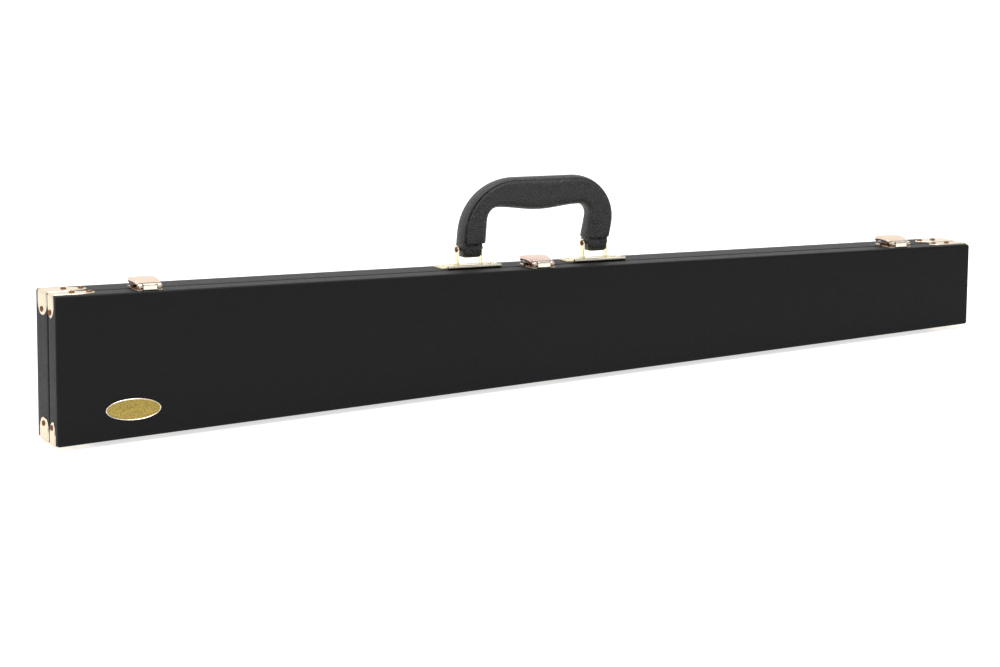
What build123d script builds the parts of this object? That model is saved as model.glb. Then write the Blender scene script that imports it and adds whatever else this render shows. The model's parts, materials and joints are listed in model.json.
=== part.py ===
from build123d import *
import os
from math import atan2, cos, degrees, radians, tan

# A hard case for a double bass bow: two covered wooden shells, hinged along the bottom.
# Case frame: the straight top edge is level, X runs from the frog end to the tip end,
# Y from the lid's face to the back, and Z up from the lower corner at the frog end.
# Standing frame: the case frame turned about Y until the slanting bottom lies level.

# Outer size, in millimetres
case_length = 800.0
case_thickness = 50.0
frog_end_height = 112.0
tip_end_height = 68.0
lid_depth = 20.0
rim_gap = 0.4

# Walls, from the outside in
cover_thickness = 0.8
panel_thickness = 4.0
rail_thickness = 6.0
lining_thickness = 1.2

# Rounded edges of the covered shells
corner_rounding = 2.0
edge_rounding = 1.9
rim_rounding = 1.2

# Rivets
rivet_head_radius = 2.3
rivet_head_height = 1.4
rivet_shank_radius = 0.9
rivet_bite = 3.0
rivet_clearance = 0.05

# How far a cut runs past what it cuts
cut_overrun = 1.0

# Corner caps
cap_thickness = 0.7
cap_long_leg = 34.0
cap_short_leg = 18.0
cap_rim_margin = 1.5
lid_cap_margin = 5.2
back_cap_margin = 7.0
cap_point_ratio = 1.9
cap_point_share = 0.6
cap_tip_to_rivet = 4.8
cap_rivet_pitch = 13.3
cap_pattern_overlap = 4.0

# Latches
latch_width = 19.5
latch_frog_distance = 73.6
latch_middle_offset = -1.5
latch_tip_distance = 66.9
latch_plate_thickness = 0.7
latch_plate_margin = 3.5
latch_rim_margin = 0.8
latch_axis_setback = 2.2
latch_knuckle_radius = 2.0
latch_pin_radius = 0.7
latch_middle_knuckle = 10.8
latch_knuckle_gap = 0.3
latch_running_gap = 0.3
latch_bore_clearance = 0.05
lever_thickness = 0.9
lever_overhang = 10.0
lever_front_gap = 0.6
lever_rounding = 3.0
lever_crown_height = 1.8
lever_crown_inset = 2.2
lever_crown_rounding = 1.6
lever_lip_height = 2.4
catch_length = 9.5
catch_ridge_width = 2.0
catch_ridge_height = 1.2
catch_ridge_rounding = 0.8
catch_ridge_setback = 1.9
latch_rivet_spacing = 13.0
latch_rivet_inset = 6.0
catch_rivet_inset = 3.2

# Hinges along the bottom
hinge_width = 30.0
hinge_drop = 1.8
hinge_knuckle_radius = 1.7
hinge_pin_radius = 0.7
hinge_bore_clearance = 0.05
hinge_leaf_thickness = 0.8
hinge_leaf_length = 11.0
hinge_knuckle_gap = 0.3
hinge_web_start = 1.05
hinge_web_overlap = 1.0
hinge_leaf_gap = 0.4
hinge_rivet_spacing = 18.0
hinge_rivet_head_height = 0.7

# Handle plates and posts on the back shell
handle_offset = 2.0
handle_spacing = 111.0
handle_depth_place = 33.0
handle_plate_length = 53.0
handle_plate_width = 24.6
handle_plate_thickness = 1.2
handle_plate_rounding = 5.0
handle_bead_radius = 1.1
handle_bead_inset = 3.5
post_thickness = 1.2
post_width = 6.4
post_spacing = 20.4
post_pivot_height = 14.3
handle_pin_radius = 1.25
handle_bore_clearance = 0.06
plate_rivet_inset = 5.6
plate_rivet_spread = 13.0

# Handle: a stiff core in a padded grip, a little shorter than its plates are apart
grip_offset = 3.1
grip_spacing = 109.4
grip_leg_width = 21.6
grip_thickness = 21.0
grip_end_above_pivot = 5.2
grip_top_above_pivot = 55.3
grip_bar_thickness = 23.2
grip_belly = 3.0
grip_belly_clearance = 3.0
grip_frog_slope = 0.075
grip_tip_slope = 0.2
grip_frog_bend = 47.0
grip_tip_bend = 34.0
grip_inner_bend = 8.8
grip_section_rounding = 6.0
core_cover = 4.8
core_width = 12.0
tongue_width = 14.0
tongue_thickness = 12.0
tongue_below_pivot = 6.3
tongue_into_grip = 3.0
tongue_end_rounding = 3.0

# Badge on the lid's face
badge_length = 43.0
badge_height = 16.6
badge_thickness = 1.0
badge_rim_width = 1.3
badge_rim_height = 0.5
badge_from_frog_end = 58.0
badge_above_bottom = 21.8

# Fittings that hold the bow
block_front_gap = 6.8
frog_block_length = 90.0
frog_block_upper_height = 12.0
frog_channel_height = 52.0
stick_rest_offset = 70.0
stick_rest_length = 24.0
stick_notch_width = 13.0
stick_notch_depth = 12.0
tip_rest_distance = 65.0
button_length = 34.0
button_width = 9.0
button_thickness = 2.4
button_gap = 0.3
button_screw_radius = 1.5
button_screw_head_radius = 3.2
button_screw_head_height = 1.4
button_screw_bite = 9.0
button_notch_clearance = 2.0
button_bore_clearance = 0.06

slant = degrees(atan2(frog_end_height - tip_end_height, case_length))
slope = tan(radians(slant))
top_level = frog_end_height
lid_rim = lid_depth - rim_gap / 2
back_rim = lid_depth + rim_gap / 2
wall_inset = cover_thickness + rail_thickness
inner_inset = wall_inset + lining_thickness
back_floor = case_thickness - cover_thickness - panel_thickness - lining_thickness
latch_places = {
    "frog": latch_frog_distance,
    "middle": case_length / 2 + latch_middle_offset,
    "tip": case_length - latch_tip_distance,
}
latch_axis_y = latch_plate_margin + latch_axis_setback
latch_axis_height = latch_plate_thickness + latch_running_gap + latch_knuckle_radius
pivot_level = top_level + post_pivot_height
handle_centre = case_length / 2 + handle_offset
handle_places = {
    "frog": handle_centre - handle_spacing / 2,
    "tip": handle_centre + handle_spacing / 2,
}
grip_centre = case_length / 2 + grip_offset
grip_places = (grip_centre - grip_spacing / 2, grip_centre + grip_spacing / 2)
grip_foot = pivot_level + grip_end_above_pivot
stick_rest_place = case_length / 2 + stick_rest_offset
tip_rest_place = case_length - tip_rest_distance
stand = Rotation(0, slant, 0)


def outline(inset):
    """Corners of the case in the front view, drawn in from the outer surface."""
    left = inset
    right = case_length - inset
    top = top_level - inset
    lift = inset / cos(radians(slant))
    return [(left, left * slope + lift), (right, right * slope + lift), (right, top), (left, top)]


def outline_face(inset, rounding=0.0):
    """The front view as a face, with its four corners rounded."""
    face = Polygon(*outline(inset), align=None)
    if rounding > 0:
        face = fillet(face.vertices(), rounding)
    return face


def between(face, y_from, y_to):
    """Extrude a front-view face from one depth to another."""
    low = min(y_from, y_to)
    high = max(y_from, y_to)
    return extrude(Plane.XZ.offset(-high) * face, high - low, dir=(0, -1, 0))


def box_at(x_range, y_range, z_range):
    """A box given by its lowest and highest x, y and z."""
    size = [high - low for low, high in (x_range, y_range, z_range)]
    middle = [(high + low) / 2 for low, high in (x_range, y_range, z_range)]
    return Pos(*middle) * Box(*size)


def rod(radius, x_from, x_to, y, z):
    """A round rod along X."""
    middle = Pos((x_from + x_to) / 2, y, z)
    return middle * Rotation(0, 90, 0) * Cylinder(radius, x_to - x_from)


def joined(pieces):
    """Fuse pieces that touch into one solid."""
    result = pieces[0]
    for piece in pieces[1:]:
        result = result + piece
    return result


def group(pieces):
    """Put separate solids into one node."""
    return Compound([solid for piece in pieces for solid in piece.solids()])


def rivet(plate, head_height):
    """A domed rivet whose head sits at z = 0 on a plate of the given thickness."""
    depth = plate + cover_thickness + rivet_bite
    lines = [
        Line((0, head_height), (0, -depth)),
        Line((0, -depth), (rivet_shank_radius, -depth)),
        Line((rivet_shank_radius, -depth), (rivet_shank_radius, 0)),
        Line((rivet_shank_radius, 0), (rivet_head_radius, 0)),
        TangentArc((0, head_height), (rivet_head_radius, 0), tangent=(1, 0)),
    ]
    return revolve(Plane.XZ * make_face(lines), Axis.Z)


def rivet_hole(plate):
    """The clearance hole that a rivet passes through."""
    depth = plate + cover_thickness + rivet_bite + rivet_clearance
    hole = Cylinder(rivet_shank_radius + rivet_clearance, depth + 2 * rivet_clearance)
    return Pos(0, 0, -depth / 2) * hole


def shell_direction(face, rim):
    """+1 or -1: the way from a shell's face towards its rim along Y."""
    return 1 if rim > face else -1


def shell_block(inset, face, rim):
    """A shell as a solid block, rounded round its face and its four corners."""
    block = between(outline_face(inset, corner_rounding - inset), face, rim)
    way = shell_direction(face, rim)
    side = block.faces().sort_by(Axis.Y)[0 if way > 0 else -1]
    return fillet(side.edges(), edge_rounding - inset)


def shell_cover(face, rim):
    """The leathercloth skin: over the face, round the walls and over the rim."""
    way = shell_direction(face, rim)
    skin = shell_block(0.0, face, rim)
    rim_side = skin.faces().sort_by(Axis.Y)[-1 if way > 0 else 0]
    skin = fillet(rim_side.edges(), rim_rounding)
    wood = shell_block(cover_thickness, face + way * cover_thickness, rim - way * cover_thickness)
    mouth = between(outline_face(wall_inset), face + way * panel_thickness, rim + way)
    return skin - wood - mouth


def shell_panel(face, rim):
    """The thin board behind a shell's face."""
    way = shell_direction(face, rim)
    start = face + way * cover_thickness
    return shell_block(cover_thickness, start, start + way * panel_thickness)


def shell_rails(face, rim):
    """The four rails glued round the board: top, bottom, frog end and tip end."""
    way = shell_direction(face, rim)
    start = face + way * (cover_thickness + panel_thickness)
    stop = rim - way * cover_thickness
    ring = outline_face(cover_thickness, corner_rounding - cover_thickness) - outline_face(wall_inset)
    frame = between(ring, start, stop)
    lift = wall_inset / cos(radians(slant))
    floor_line = [(0, lift), (case_length, case_length * slope + lift)]
    below = Polygon(*floor_line, (case_length, 0), (0, 0), align=None)
    low_region = between(below, start, stop)
    high_region = box_at((0, case_length), sorted((start, stop)), (top_level - wall_inset, top_level))
    ends = frame - low_region - high_region
    ends = ends.solids().sort_by(Axis.X)
    return {
        "top_rail": frame & high_region,
        "bottom_rail": frame & low_region,
        "frog_end_rail": ends[0],
        "tip_end_rail": ends[-1],
    }


def shell_lining(face, rim):
    """The velvet lining: a thin tray inside the rails, open towards the rim."""
    way = shell_direction(face, rim)
    floor = face + way * (cover_thickness + panel_thickness)
    tray = between(outline_face(wall_inset), floor, rim)
    hollow = between(outline_face(inner_inset), floor + way * lining_thickness, rim + way)
    return tray - hollow


def leg_face(length, half_width):
    """One leg of a corner cap: parallel sides that close to a pointed arch."""
    point = min(half_width * cap_point_ratio, length * cap_point_share)
    straight = length - point
    back = -cap_pattern_overlap
    lines = [
        Line((back, -half_width), (straight, -half_width)),
        TangentArc((straight, -half_width), (length, 0), tangent=(1, 0)),
        TangentArc((straight, half_width), (length, 0), tangent=(1, 0)),
        Line((straight, half_width), (back, half_width)),
        Line((back, half_width), (back, -half_width)),
    ]
    return make_face(lines)


def corner_caps(y_low, y_high):
    """The four sheet caps of one shell, bent over its ends."""
    middle = (y_low + y_high) / 2
    half_width = (y_high - y_low) / 2
    outer = outline_face(-cap_thickness, corner_rounding + cap_thickness)
    sheet = between(outer - outline_face(0.0, corner_rounding), y_low, y_high)
    reach = cap_pattern_overlap + cap_long_leg * slope
    long_leg = extrude(leg_face(cap_long_leg, half_width), reach, both=True)
    short_leg = extrude(leg_face(cap_short_leg, half_width), corner_rounding, both=True)
    caps = {}
    for end, x_corner in (("frog", 0.0), ("tip", case_length)):
        turn = Rotation(0, 0, 0) if end == "frog" else Rotation(0, 0, 180)
        for level, z_corner in (("upper", top_level), ("lower", x_corner * slope)):
            along = Pos(x_corner, middle, z_corner) * turn * long_leg
            tip_up = Rotation(0, 90, 0) if level == "upper" else Rotation(0, -90, 0)
            down = Pos(x_corner, middle, z_corner) * tip_up * short_leg
            caps[f"{end}_{level}"] = (sheet & along) + (sheet & down)
    return caps


def cap_rivet_places(y_low, y_high):
    """Where the cap rivets sit: two on each long leg, one on each short leg."""
    middle = (y_low + y_high) / 2
    places = []
    far = cap_long_leg - cap_tip_to_rivet
    level = top_level + cap_thickness
    low = -cap_thickness
    for distance in (far, far - cap_rivet_pitch):
        for x in (distance, case_length - distance):
            places.append(stand * Pos(x, middle, level))
            surface = x / cos(radians(slant))
            places.append(Pos(surface, middle, low) * Rotation(180, 0, 0))
    reach = cap_short_leg - cap_tip_to_rivet
    for x, turn in ((-cap_thickness, -90), (case_length + cap_thickness, 90)):
        corner = 0.0 if x < 0 else case_length * slope
        for z in (top_level - reach, corner + reach):
            places.append(stand * Pos(x, middle, z) * Rotation(0, turn, 0))
    return places


def latch_knuckles(centre, widths):
    """Round knuckles along X, given by their ends from the latch's centre line."""
    return [
        rod(latch_knuckle_radius, centre + low, centre + high, latch_axis_y, top_level + latch_axis_height)
        for low, high in widths
    ]


def latch_bore(centre):
    """The bore through a latch's knuckles."""
    radius = latch_pin_radius + latch_bore_clearance
    half = latch_width / 2 + cut_overrun
    return rod(radius, centre - half, centre + half, latch_axis_y, top_level + latch_axis_height)


def latch_plate(centre):
    """The plate on the lid, with a knuckle at both ends of its front edge."""
    half = latch_width / 2
    inner = latch_middle_knuckle / 2 + latch_knuckle_gap
    plate_top = top_level + latch_plate_thickness
    sheet = box_at(
        (centre - half, centre + half),
        (latch_plate_margin, lid_rim - latch_rim_margin),
        (top_level, plate_top),
    )
    pieces = [sheet]
    for low, high in ((-half, -inner), (inner, half)):
        pieces += latch_knuckles(centre, [(low, high)])
        pieces.append(
            box_at(
                (centre + low, centre + high),
                (latch_axis_y - latch_pin_radius, latch_axis_y + latch_knuckle_radius),
                (top_level, top_level + latch_axis_height),
            )
        )
    return joined(pieces) - latch_bore(centre)


def latch_pin(centre):
    """The pin through a latch's knuckles."""
    half = latch_width / 2
    return rod(latch_pin_radius, centre - half, centre + half, latch_axis_y, top_level + latch_axis_height)


def latch_lever(centre):
    """The crowned lever: its middle knuckle turns on the pin, its lip hangs over the catch."""
    half = latch_width / 2
    middle = latch_middle_knuckle / 2
    lever_top = top_level + latch_axis_height + latch_knuckle_radius
    rear = lid_depth + lever_overhang
    front = latch_axis_y + latch_knuckle_radius + lever_front_gap
    levels = (lever_top - lever_thickness, lever_top)
    sheet = box_at((centre - half, centre + half), (front, rear), levels)
    corners = sheet.edges().filter_by(Axis.Z).sort_by(Axis.Y)[-2:]
    sheet = fillet(corners, lever_rounding)
    neck = box_at((centre - middle, centre + middle), (latch_axis_y, front), levels)
    lip = box_at(
        (centre - middle, centre + middle),
        (rear - lever_thickness, rear),
        (lever_top - lever_lip_height, lever_top),
    )
    crown = box_at(
        (centre - half + lever_crown_inset, centre + half - lever_crown_inset),
        (front + lever_crown_inset, rear - lever_crown_inset),
        (lever_top - lever_thickness, lever_top + lever_crown_height),
    )
    crown = fillet(crown.edges().filter_by(Axis.Z), lever_crown_rounding)
    crown = fillet(crown.faces().sort_by(Axis.Z)[-1].edges(), lever_crown_rounding)
    knuckle = latch_knuckles(centre, [(-middle, middle)])
    return joined([sheet, neck, lip, crown] + knuckle) - latch_bore(centre)


def latch_catch(centre):
    """The plate on the back shell, with the ridge that the lever's lip snaps over."""
    half = latch_width / 2
    start = back_rim + latch_rim_margin
    stop = start + catch_length
    plate_top = top_level + latch_plate_thickness
    sheet = box_at((centre - half, centre + half), (start, stop), (top_level, plate_top))
    ridge_end = stop - catch_ridge_setback
    ridge = box_at(
        (centre - latch_middle_knuckle / 2, centre + latch_middle_knuckle / 2),
        (ridge_end - catch_ridge_width, ridge_end),
        (top_level, plate_top + catch_ridge_height),
    )
    long_edges = ridge.faces().sort_by(Axis.Z)[-1].edges().filter_by(Axis.X)
    ridge = fillet(long_edges, catch_ridge_rounding)
    return sheet + ridge


def latch_rivet_places(centre, y):
    """A pair of rivets on a latch plate or a catch."""
    level = top_level + latch_plate_thickness
    half = latch_rivet_spacing / 2
    return [stand * Pos(centre + side * half, y, level) for side in (-1, 1)]


def hinge_leaf(place, way):
    """One leaf under the bottom, in the standing frame: way is +1 on the back shell."""
    half = hinge_width / 2
    knuckle = (hinge_width - 2 * hinge_knuckle_gap) / 3
    spans = [(-half, -half + knuckle), (half - knuckle, half)] if way > 0 else [(-knuckle / 2, knuckle / 2)]
    near = hinge_knuckle_radius + hinge_leaf_gap
    far = near + hinge_leaf_length
    web_end = near + hinge_web_overlap
    pieces = [
        box_at(
            (place - half, place + half),
            sorted((lid_depth + way * near, lid_depth + way * far)),
            (-hinge_leaf_thickness, 0),
        )
    ]
    for low, high in spans:
        pieces.append(rod(hinge_knuckle_radius, place + low, place + high, lid_depth, -hinge_drop))
        pieces.append(
            box_at(
                (place + low, place + high),
                sorted((lid_depth + way * hinge_web_start, lid_depth + way * web_end)),
                (-hinge_leaf_thickness, 0),
            )
        )
    radius = hinge_pin_radius + hinge_bore_clearance
    ends = (place - half - cut_overrun, place + half + cut_overrun)
    bore = rod(radius, *ends, lid_depth, -hinge_drop)
    return joined(pieces) - bore


def hinge_pin(place):
    """The pin of one hinge."""
    half = hinge_width / 2
    return rod(hinge_pin_radius, place - half, place + half, lid_depth, -hinge_drop)


def hinge_rivet_places(place, way):
    """A pair of rivets on one hinge leaf."""
    y = lid_depth + way * (hinge_knuckle_radius + hinge_leaf_gap + hinge_leaf_length / 2)
    half = hinge_rivet_spacing / 2
    return [Pos(place + side * half, y, -hinge_leaf_thickness) * Rotation(180, 0, 0) for side in (-1, 1)]


def handle_plate(centre):
    """A handle plate with a rolled bead along its front and two upright posts."""
    half = handle_plate_length / 2
    front = handle_depth_place - handle_plate_width / 2
    rear = handle_depth_place + handle_plate_width / 2
    plate_top = top_level + handle_plate_thickness
    sheet = box_at((centre - half, centre + half), (front, rear), (top_level, plate_top))
    sheet = fillet(sheet.edges().filter_by(Axis.Z), handle_plate_rounding)
    bead = rod(
        handle_bead_radius,
        centre - half + handle_bead_inset,
        centre + half - handle_bead_inset,
        front + handle_bead_radius,
        top_level + handle_bead_radius,
    )
    pieces = [sheet, bead]
    for side in (-1, 1):
        x = centre + side * post_spacing / 2
        span = (x - post_thickness / 2, x + post_thickness / 2)
        depth = (handle_depth_place - post_width / 2, handle_depth_place + post_width / 2)
        pieces.append(box_at(span, depth, (top_level, pivot_level)))
        pieces.append(rod(post_width / 2, *span, handle_depth_place, pivot_level))
    radius = handle_pin_radius + rivet_clearance
    bore = rod(radius, centre - post_spacing, centre + post_spacing, handle_depth_place, pivot_level)
    return joined(pieces) - bore


def handle_pin(centre):
    """The riveted pin through two posts, with a domed head at each end."""
    half = post_spacing / 2 + post_thickness / 2
    shaft = rod(handle_pin_radius, centre - half, centre + half, handle_depth_place, pivot_level)
    dome = [
        Line((0, 0), (rivet_head_radius, 0)),
        TangentArc((0, rivet_head_height), (rivet_head_radius, 0), tangent=(1, 0)),
        Line((0, rivet_head_height), (0, 0)),
    ]
    head = revolve(Plane.XZ * make_face(dome), Axis.Z)
    left = Pos(centre - half, handle_depth_place, pivot_level) * Rotation(0, -90, 0) * head
    right = Pos(centre + half, handle_depth_place, pivot_level) * Rotation(0, 90, 0) * head
    return shaft + left + right


def handle_plate_rivet_places(centre):
    """Four rivets, two near each end of a handle plate."""
    level = top_level + handle_plate_thickness
    x_reach = handle_plate_length / 2 - plate_rivet_inset
    y_reach = plate_rivet_spread / 2
    return [
        stand * Pos(centre + x_side * x_reach, handle_depth_place + y_side * y_reach, level)
        for x_side in (-1, 1)
        for y_side in (-1, 1)
    ]


def leg_edge(foot_x, slope_of_leg, level):
    """A point of a leg's sloping edge, given where that edge stands at the grip's foot."""
    return (foot_x + slope_of_leg * (level - grip_foot), level)


def grip_arch(inset, foot):
    """The front view of the grip's outer arch, drawn in, from a foot level over its bar."""
    left = grip_places[0] - grip_leg_width / 2 + inset
    right = grip_places[1] + grip_leg_width / 2 - inset
    top = pivot_level + grip_top_above_pivot - inset
    corners = [
        leg_edge(left, grip_frog_slope, foot),
        leg_edge(left, grip_frog_slope, top),
        leg_edge(right, grip_tip_slope, top),
        leg_edge(right, grip_tip_slope, foot),
    ]
    face = Polygon(*corners, align=None)
    shoulders = face.vertices().sort_by(Axis.Y)[-2:].sort_by(Axis.X)
    face = fillet(shoulders[0], grip_frog_bend - inset)
    shoulder = face.vertices().sort_by(Axis.X)[-1]
    return fillet(shoulder, grip_tip_bend - inset)


def handle_core():
    """The stiff core: one bent strip inside the grip, with a tongue on each pin."""
    depth = (handle_depth_place - tongue_thickness / 2, handle_depth_place + tongue_thickness / 2)
    inside = grip_arch(core_cover + core_width, grip_foot - core_width)
    pieces = [between(grip_arch(core_cover, grip_foot) - inside, *depth)]
    for centre in grip_places:
        tongue = box_at(
            (centre - tongue_width / 2, centre + tongue_width / 2),
            depth,
            (pivot_level - tongue_below_pivot, grip_foot + tongue_into_grip),
        )
        low_edges = tongue.edges().filter_by(Axis.X).sort_by(Axis.Z)[:2]
        pieces.append(fillet(low_edges, tongue_end_rounding))
    core = joined(pieces)
    radius = handle_pin_radius + handle_bore_clearance
    for centre in grip_places:
        reach = tongue_width
        core = core - rod(radius, centre - reach, centre + reach, handle_depth_place, pivot_level)
    return core


def hand_gap(under):
    """The gap for the hand as a face: round corners, and a belly hanging into its top."""
    left = grip_places[0] + grip_leg_width / 2
    right = grip_places[1] - grip_leg_width / 2
    sides = []
    ends = []
    for foot_x, slope_of_leg, way in ((left, grip_frog_slope, 1), (right, grip_tip_slope, -1)):
        corner = leg_edge(foot_x, slope_of_leg, under)
        end = (corner[0] + way * (grip_inner_bend + grip_belly_clearance), under)
        sides.append(FilletPolyline((foot_x, grip_foot), corner, end, radius=grip_inner_bend))
        ends.append(end)
    lowest = ((ends[0][0] + ends[1][0]) / 2, under - grip_belly)
    belly = Spline(ends[0], lowest, ends[1], tangents=((1, 0), (1, 0)))
    closing = Line((right, grip_foot), (left, grip_foot))
    return make_face(sides[0].edges() + belly.edges() + sides[1].edges() + closing.edges())


def handle_grip(core):
    """The padded grip: an arch with a rounded section and a belly under the bar."""
    under = pivot_level + grip_top_above_pivot - grip_bar_thickness
    face = grip_arch(0.0, grip_foot) - hand_gap(under)
    low = handle_depth_place - grip_thickness / 2
    high = handle_depth_place + grip_thickness / 2
    body = between(face, low, high)
    sides = body.faces().sort_by(Axis.Y)
    edges = [
        edge
        for side in (sides[0], sides[-1])
        for edge in side.edges()
        if edge.bounding_box().max.Z > grip_foot + tongue_into_grip
    ]
    body = fillet(edges, grip_section_rounding)
    return body - core


def badge():
    """A bare oval badge with a raised rim, on the lid's face."""
    centre = (badge_from_frog_end, badge_from_frog_end * slope + badge_above_bottom)
    field = Pos(*centre) * Ellipse(badge_length / 2, badge_height / 2)
    inner = Pos(*centre) * Ellipse(
        badge_length / 2 - badge_rim_width, badge_height / 2 - badge_rim_width
    )
    plate = between(field, -badge_thickness, 0)
    rim = between(field - inner, -badge_thickness - badge_rim_height, -badge_thickness)
    return plate + rim


def block_depth():
    """Front and rear of the blocks that carry the bow."""
    return (back_rim + block_front_gap, back_floor)


def inner_bottom(x):
    """Height of the lined bottom wall at a place along the case."""
    return x * slope + inner_inset / cos(radians(slant))


def full_height_block(x_low, x_high):
    """A block from the lined bottom wall to the lined top wall."""
    top = top_level - inner_inset
    points = [(x_low, inner_bottom(x_low)), (x_high, inner_bottom(x_high)), (x_high, top), (x_low, top)]
    return between(Polygon(*points, align=None), *block_depth())


def frog_blocks():
    """Two padded blocks that hold the frog between them."""
    x_low = inner_inset
    x_high = x_low + frog_block_length
    whole = full_height_block(x_low, x_high)
    channel_top = top_level - inner_inset - frog_block_upper_height
    channel_floor = channel_top - frog_channel_height
    upper = box_at((x_low, x_high), block_depth(), (channel_top, top_level))
    lower = box_at((x_low, x_high), block_depth(), (0, channel_floor))
    return whole & upper, whole & lower


def stick_axis_height():
    """Height of the bow's stick, just under the upper frog block."""
    return top_level - inner_inset - frog_block_upper_height - stick_notch_width / 2


def notched_block(x_low):
    """A padded block with a notch that the stick lies in."""
    block = full_height_block(x_low, x_low + stick_rest_length)
    front = block_depth()[0]
    middle = stick_axis_height()
    notch = box_at(
        (x_low - cut_overrun, x_low + stick_rest_length + cut_overrun),
        (front - cut_overrun, front + stick_notch_depth),
        (middle - stick_notch_width / 2, middle + stick_notch_width / 2),
    )
    return block - notch


def button_place():
    """Where the turn-button's screw stands: beside the notch, on the block's front."""
    x = stick_rest_place + stick_rest_length / 2
    z = stick_axis_height() - stick_notch_width / 2 - button_screw_head_radius - button_notch_clearance
    return (x, block_depth()[0], z)


def turn_button():
    """The turn-button that keeps the stick in its notch."""
    x, front, z = button_place()
    shape = SlotOverall(button_length, button_width, rotation=90)
    plate = between(Pos(x, z) * shape, front - button_gap - button_thickness, front - button_gap)
    bore = Circle(button_screw_radius + button_bore_clearance)
    return plate - between(Pos(x, z) * bore, front - 2 * button_thickness, front)


def button_screw():
    """The screw that the turn-button turns on."""
    x, front, z = button_place()
    seat = front - 2 * button_gap - button_thickness
    shank = between(Pos(x, z) * Circle(button_screw_radius), seat, front + button_screw_bite)
    head = between(
        Pos(x, z) * Circle(button_screw_head_radius), seat - button_screw_head_height, seat
    )
    return head + shank


def cut_holes(solid, holes):
    """Cut the rivet holes that reach a solid."""
    box = solid.bounding_box()
    for hole in holes:
        if hole.bounding_box().overlaps(box):
            solid = solid - hole
    return solid


def standing(shape):
    """Turn a shape from the case frame into the standing frame."""
    return stand * shape


def build():
    """All nodes in the standing frame, by name."""
    nodes = {}
    cap_bands = {
        "lid": (lid_cap_margin, lid_rim - cap_rim_margin),
        "back": (back_rim + cap_rim_margin, case_thickness - back_cap_margin),
    }
    rivets = {"lid": [], "back": []}
    for shell, band in cap_bands.items():
        rivets[shell].append(("corner", cap_thickness, cap_rivet_places(*band)))
    lid_latch_y = lid_rim - latch_rivet_inset
    catch_y = back_rim + catch_rivet_inset
    latches = latch_places.values()
    lid_latch = [spot for centre in latches for spot in latch_rivet_places(centre, lid_latch_y)]
    catch = [spot for centre in latches for spot in latch_rivet_places(centre, catch_y)]
    rivets["lid"].append(("latch", latch_plate_thickness, lid_latch))
    rivets["back"].append(("latch", latch_plate_thickness, catch))
    handle = [spot for centre in handle_places.values() for spot in handle_plate_rivet_places(centre)]
    rivets["back"].append(("handle", handle_plate_thickness, handle))
    for shell, way in (("lid", -1), ("back", 1)):
        places = [spot for centre in latches for spot in hinge_rivet_places(centre, way)]
        rivets[shell].append(("hinge", hinge_leaf_thickness, places))

    holes = {}
    for shell, kinds in rivets.items():
        holes[shell] = []
        for kind, plate, places in kinds:
            rise = hinge_rivet_head_height if kind == "hinge" else rivet_head_height
            holes[shell] += [place * rivet_hole(plate) for place in places]
            nodes[f"{shell}_{kind}_rivets"] = group([place * rivet(plate, rise) for place in places])

    shells = {"lid": (0.0, lid_rim), "back": (case_thickness, back_rim)}
    for shell, (face, rim) in shells.items():
        cutters = holes[shell]
        nodes[f"{shell}_cover"] = cut_holes(standing(shell_cover(face, rim)), cutters)
        nodes[f"{shell}_panel"] = standing(shell_panel(face, rim))
        for rail, solid in shell_rails(face, rim).items():
            nodes[f"{shell}_{rail}"] = cut_holes(standing(solid), cutters)
        nodes[f"{shell}_lining"] = standing(shell_lining(face, rim))
        caps = corner_caps(*cap_bands[shell])
        nodes[f"{shell}_corner_caps"] = group(
            [cut_holes(standing(cap), cutters) for cap in caps.values()]
        )
        way = -1 if shell == "lid" else 1
        leaves = [cut_holes(hinge_leaf(place, way), cutters) for place in latch_places.values()]
        nodes[f"{shell}_hinge_leaves"] = group(leaves)
    nodes["hinge_pins"] = group([hinge_pin(place) for place in latch_places.values()])

    for name, centre in latch_places.items():
        nodes[f"latch_{name}_plate"] = cut_holes(standing(latch_plate(centre)), holes["lid"])
        nodes[f"latch_{name}_pin"] = standing(latch_pin(centre))
        nodes[f"latch_{name}_lever"] = standing(latch_lever(centre))
        nodes[f"latch_{name}_catch"] = cut_holes(standing(latch_catch(centre)), holes["back"])

    for name, centre in handle_places.items():
        plate = cut_holes(standing(handle_plate(centre)), holes["back"])
        nodes[f"handle_{name}_plate"] = plate
        nodes[f"handle_{name}_pin"] = standing(handle_pin(centre))
    core = handle_core()
    nodes["handle_core"] = standing(core)
    nodes["handle_grip"] = standing(handle_grip(core))

    nodes["badge"] = standing(badge())
    upper, lower = frog_blocks()
    nodes["frog_block_upper"] = standing(upper)
    nodes["frog_block_lower"] = standing(lower)
    x, front, z = button_place()
    hole = Pos(x, z) * Circle(button_screw_radius)
    screw_hole = between(hole, front, front + button_screw_bite)
    nodes["stick_rest"] = standing(notched_block(stick_rest_place) - screw_hole)
    nodes["tip_rest"] = standing(notched_block(tip_rest_place))
    nodes["turn_button"] = standing(turn_button())
    nodes["turn_button_screw"] = standing(button_screw())
    return nodes


def centred(nodes):
    """Move the origin to the middle of the footprint, at the lowest point."""
    box = group(nodes.values()).bounding_box()
    shift = Pos(-(box.min.X + box.max.X) / 2, -(box.min.Y + box.max.Y) / 2, -box.min.Z)
    return {name: shift * shape for name, shape in nodes.items()}, shift


def main():
    """Write one STEP file for each node."""
    os.makedirs("parts", exist_ok=True)
    nodes, _ = centred(build())
    for name, shape in nodes.items():
        export_step(shape, f"parts/{name}.step")


if __name__ == "__main__":
    main()
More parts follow.
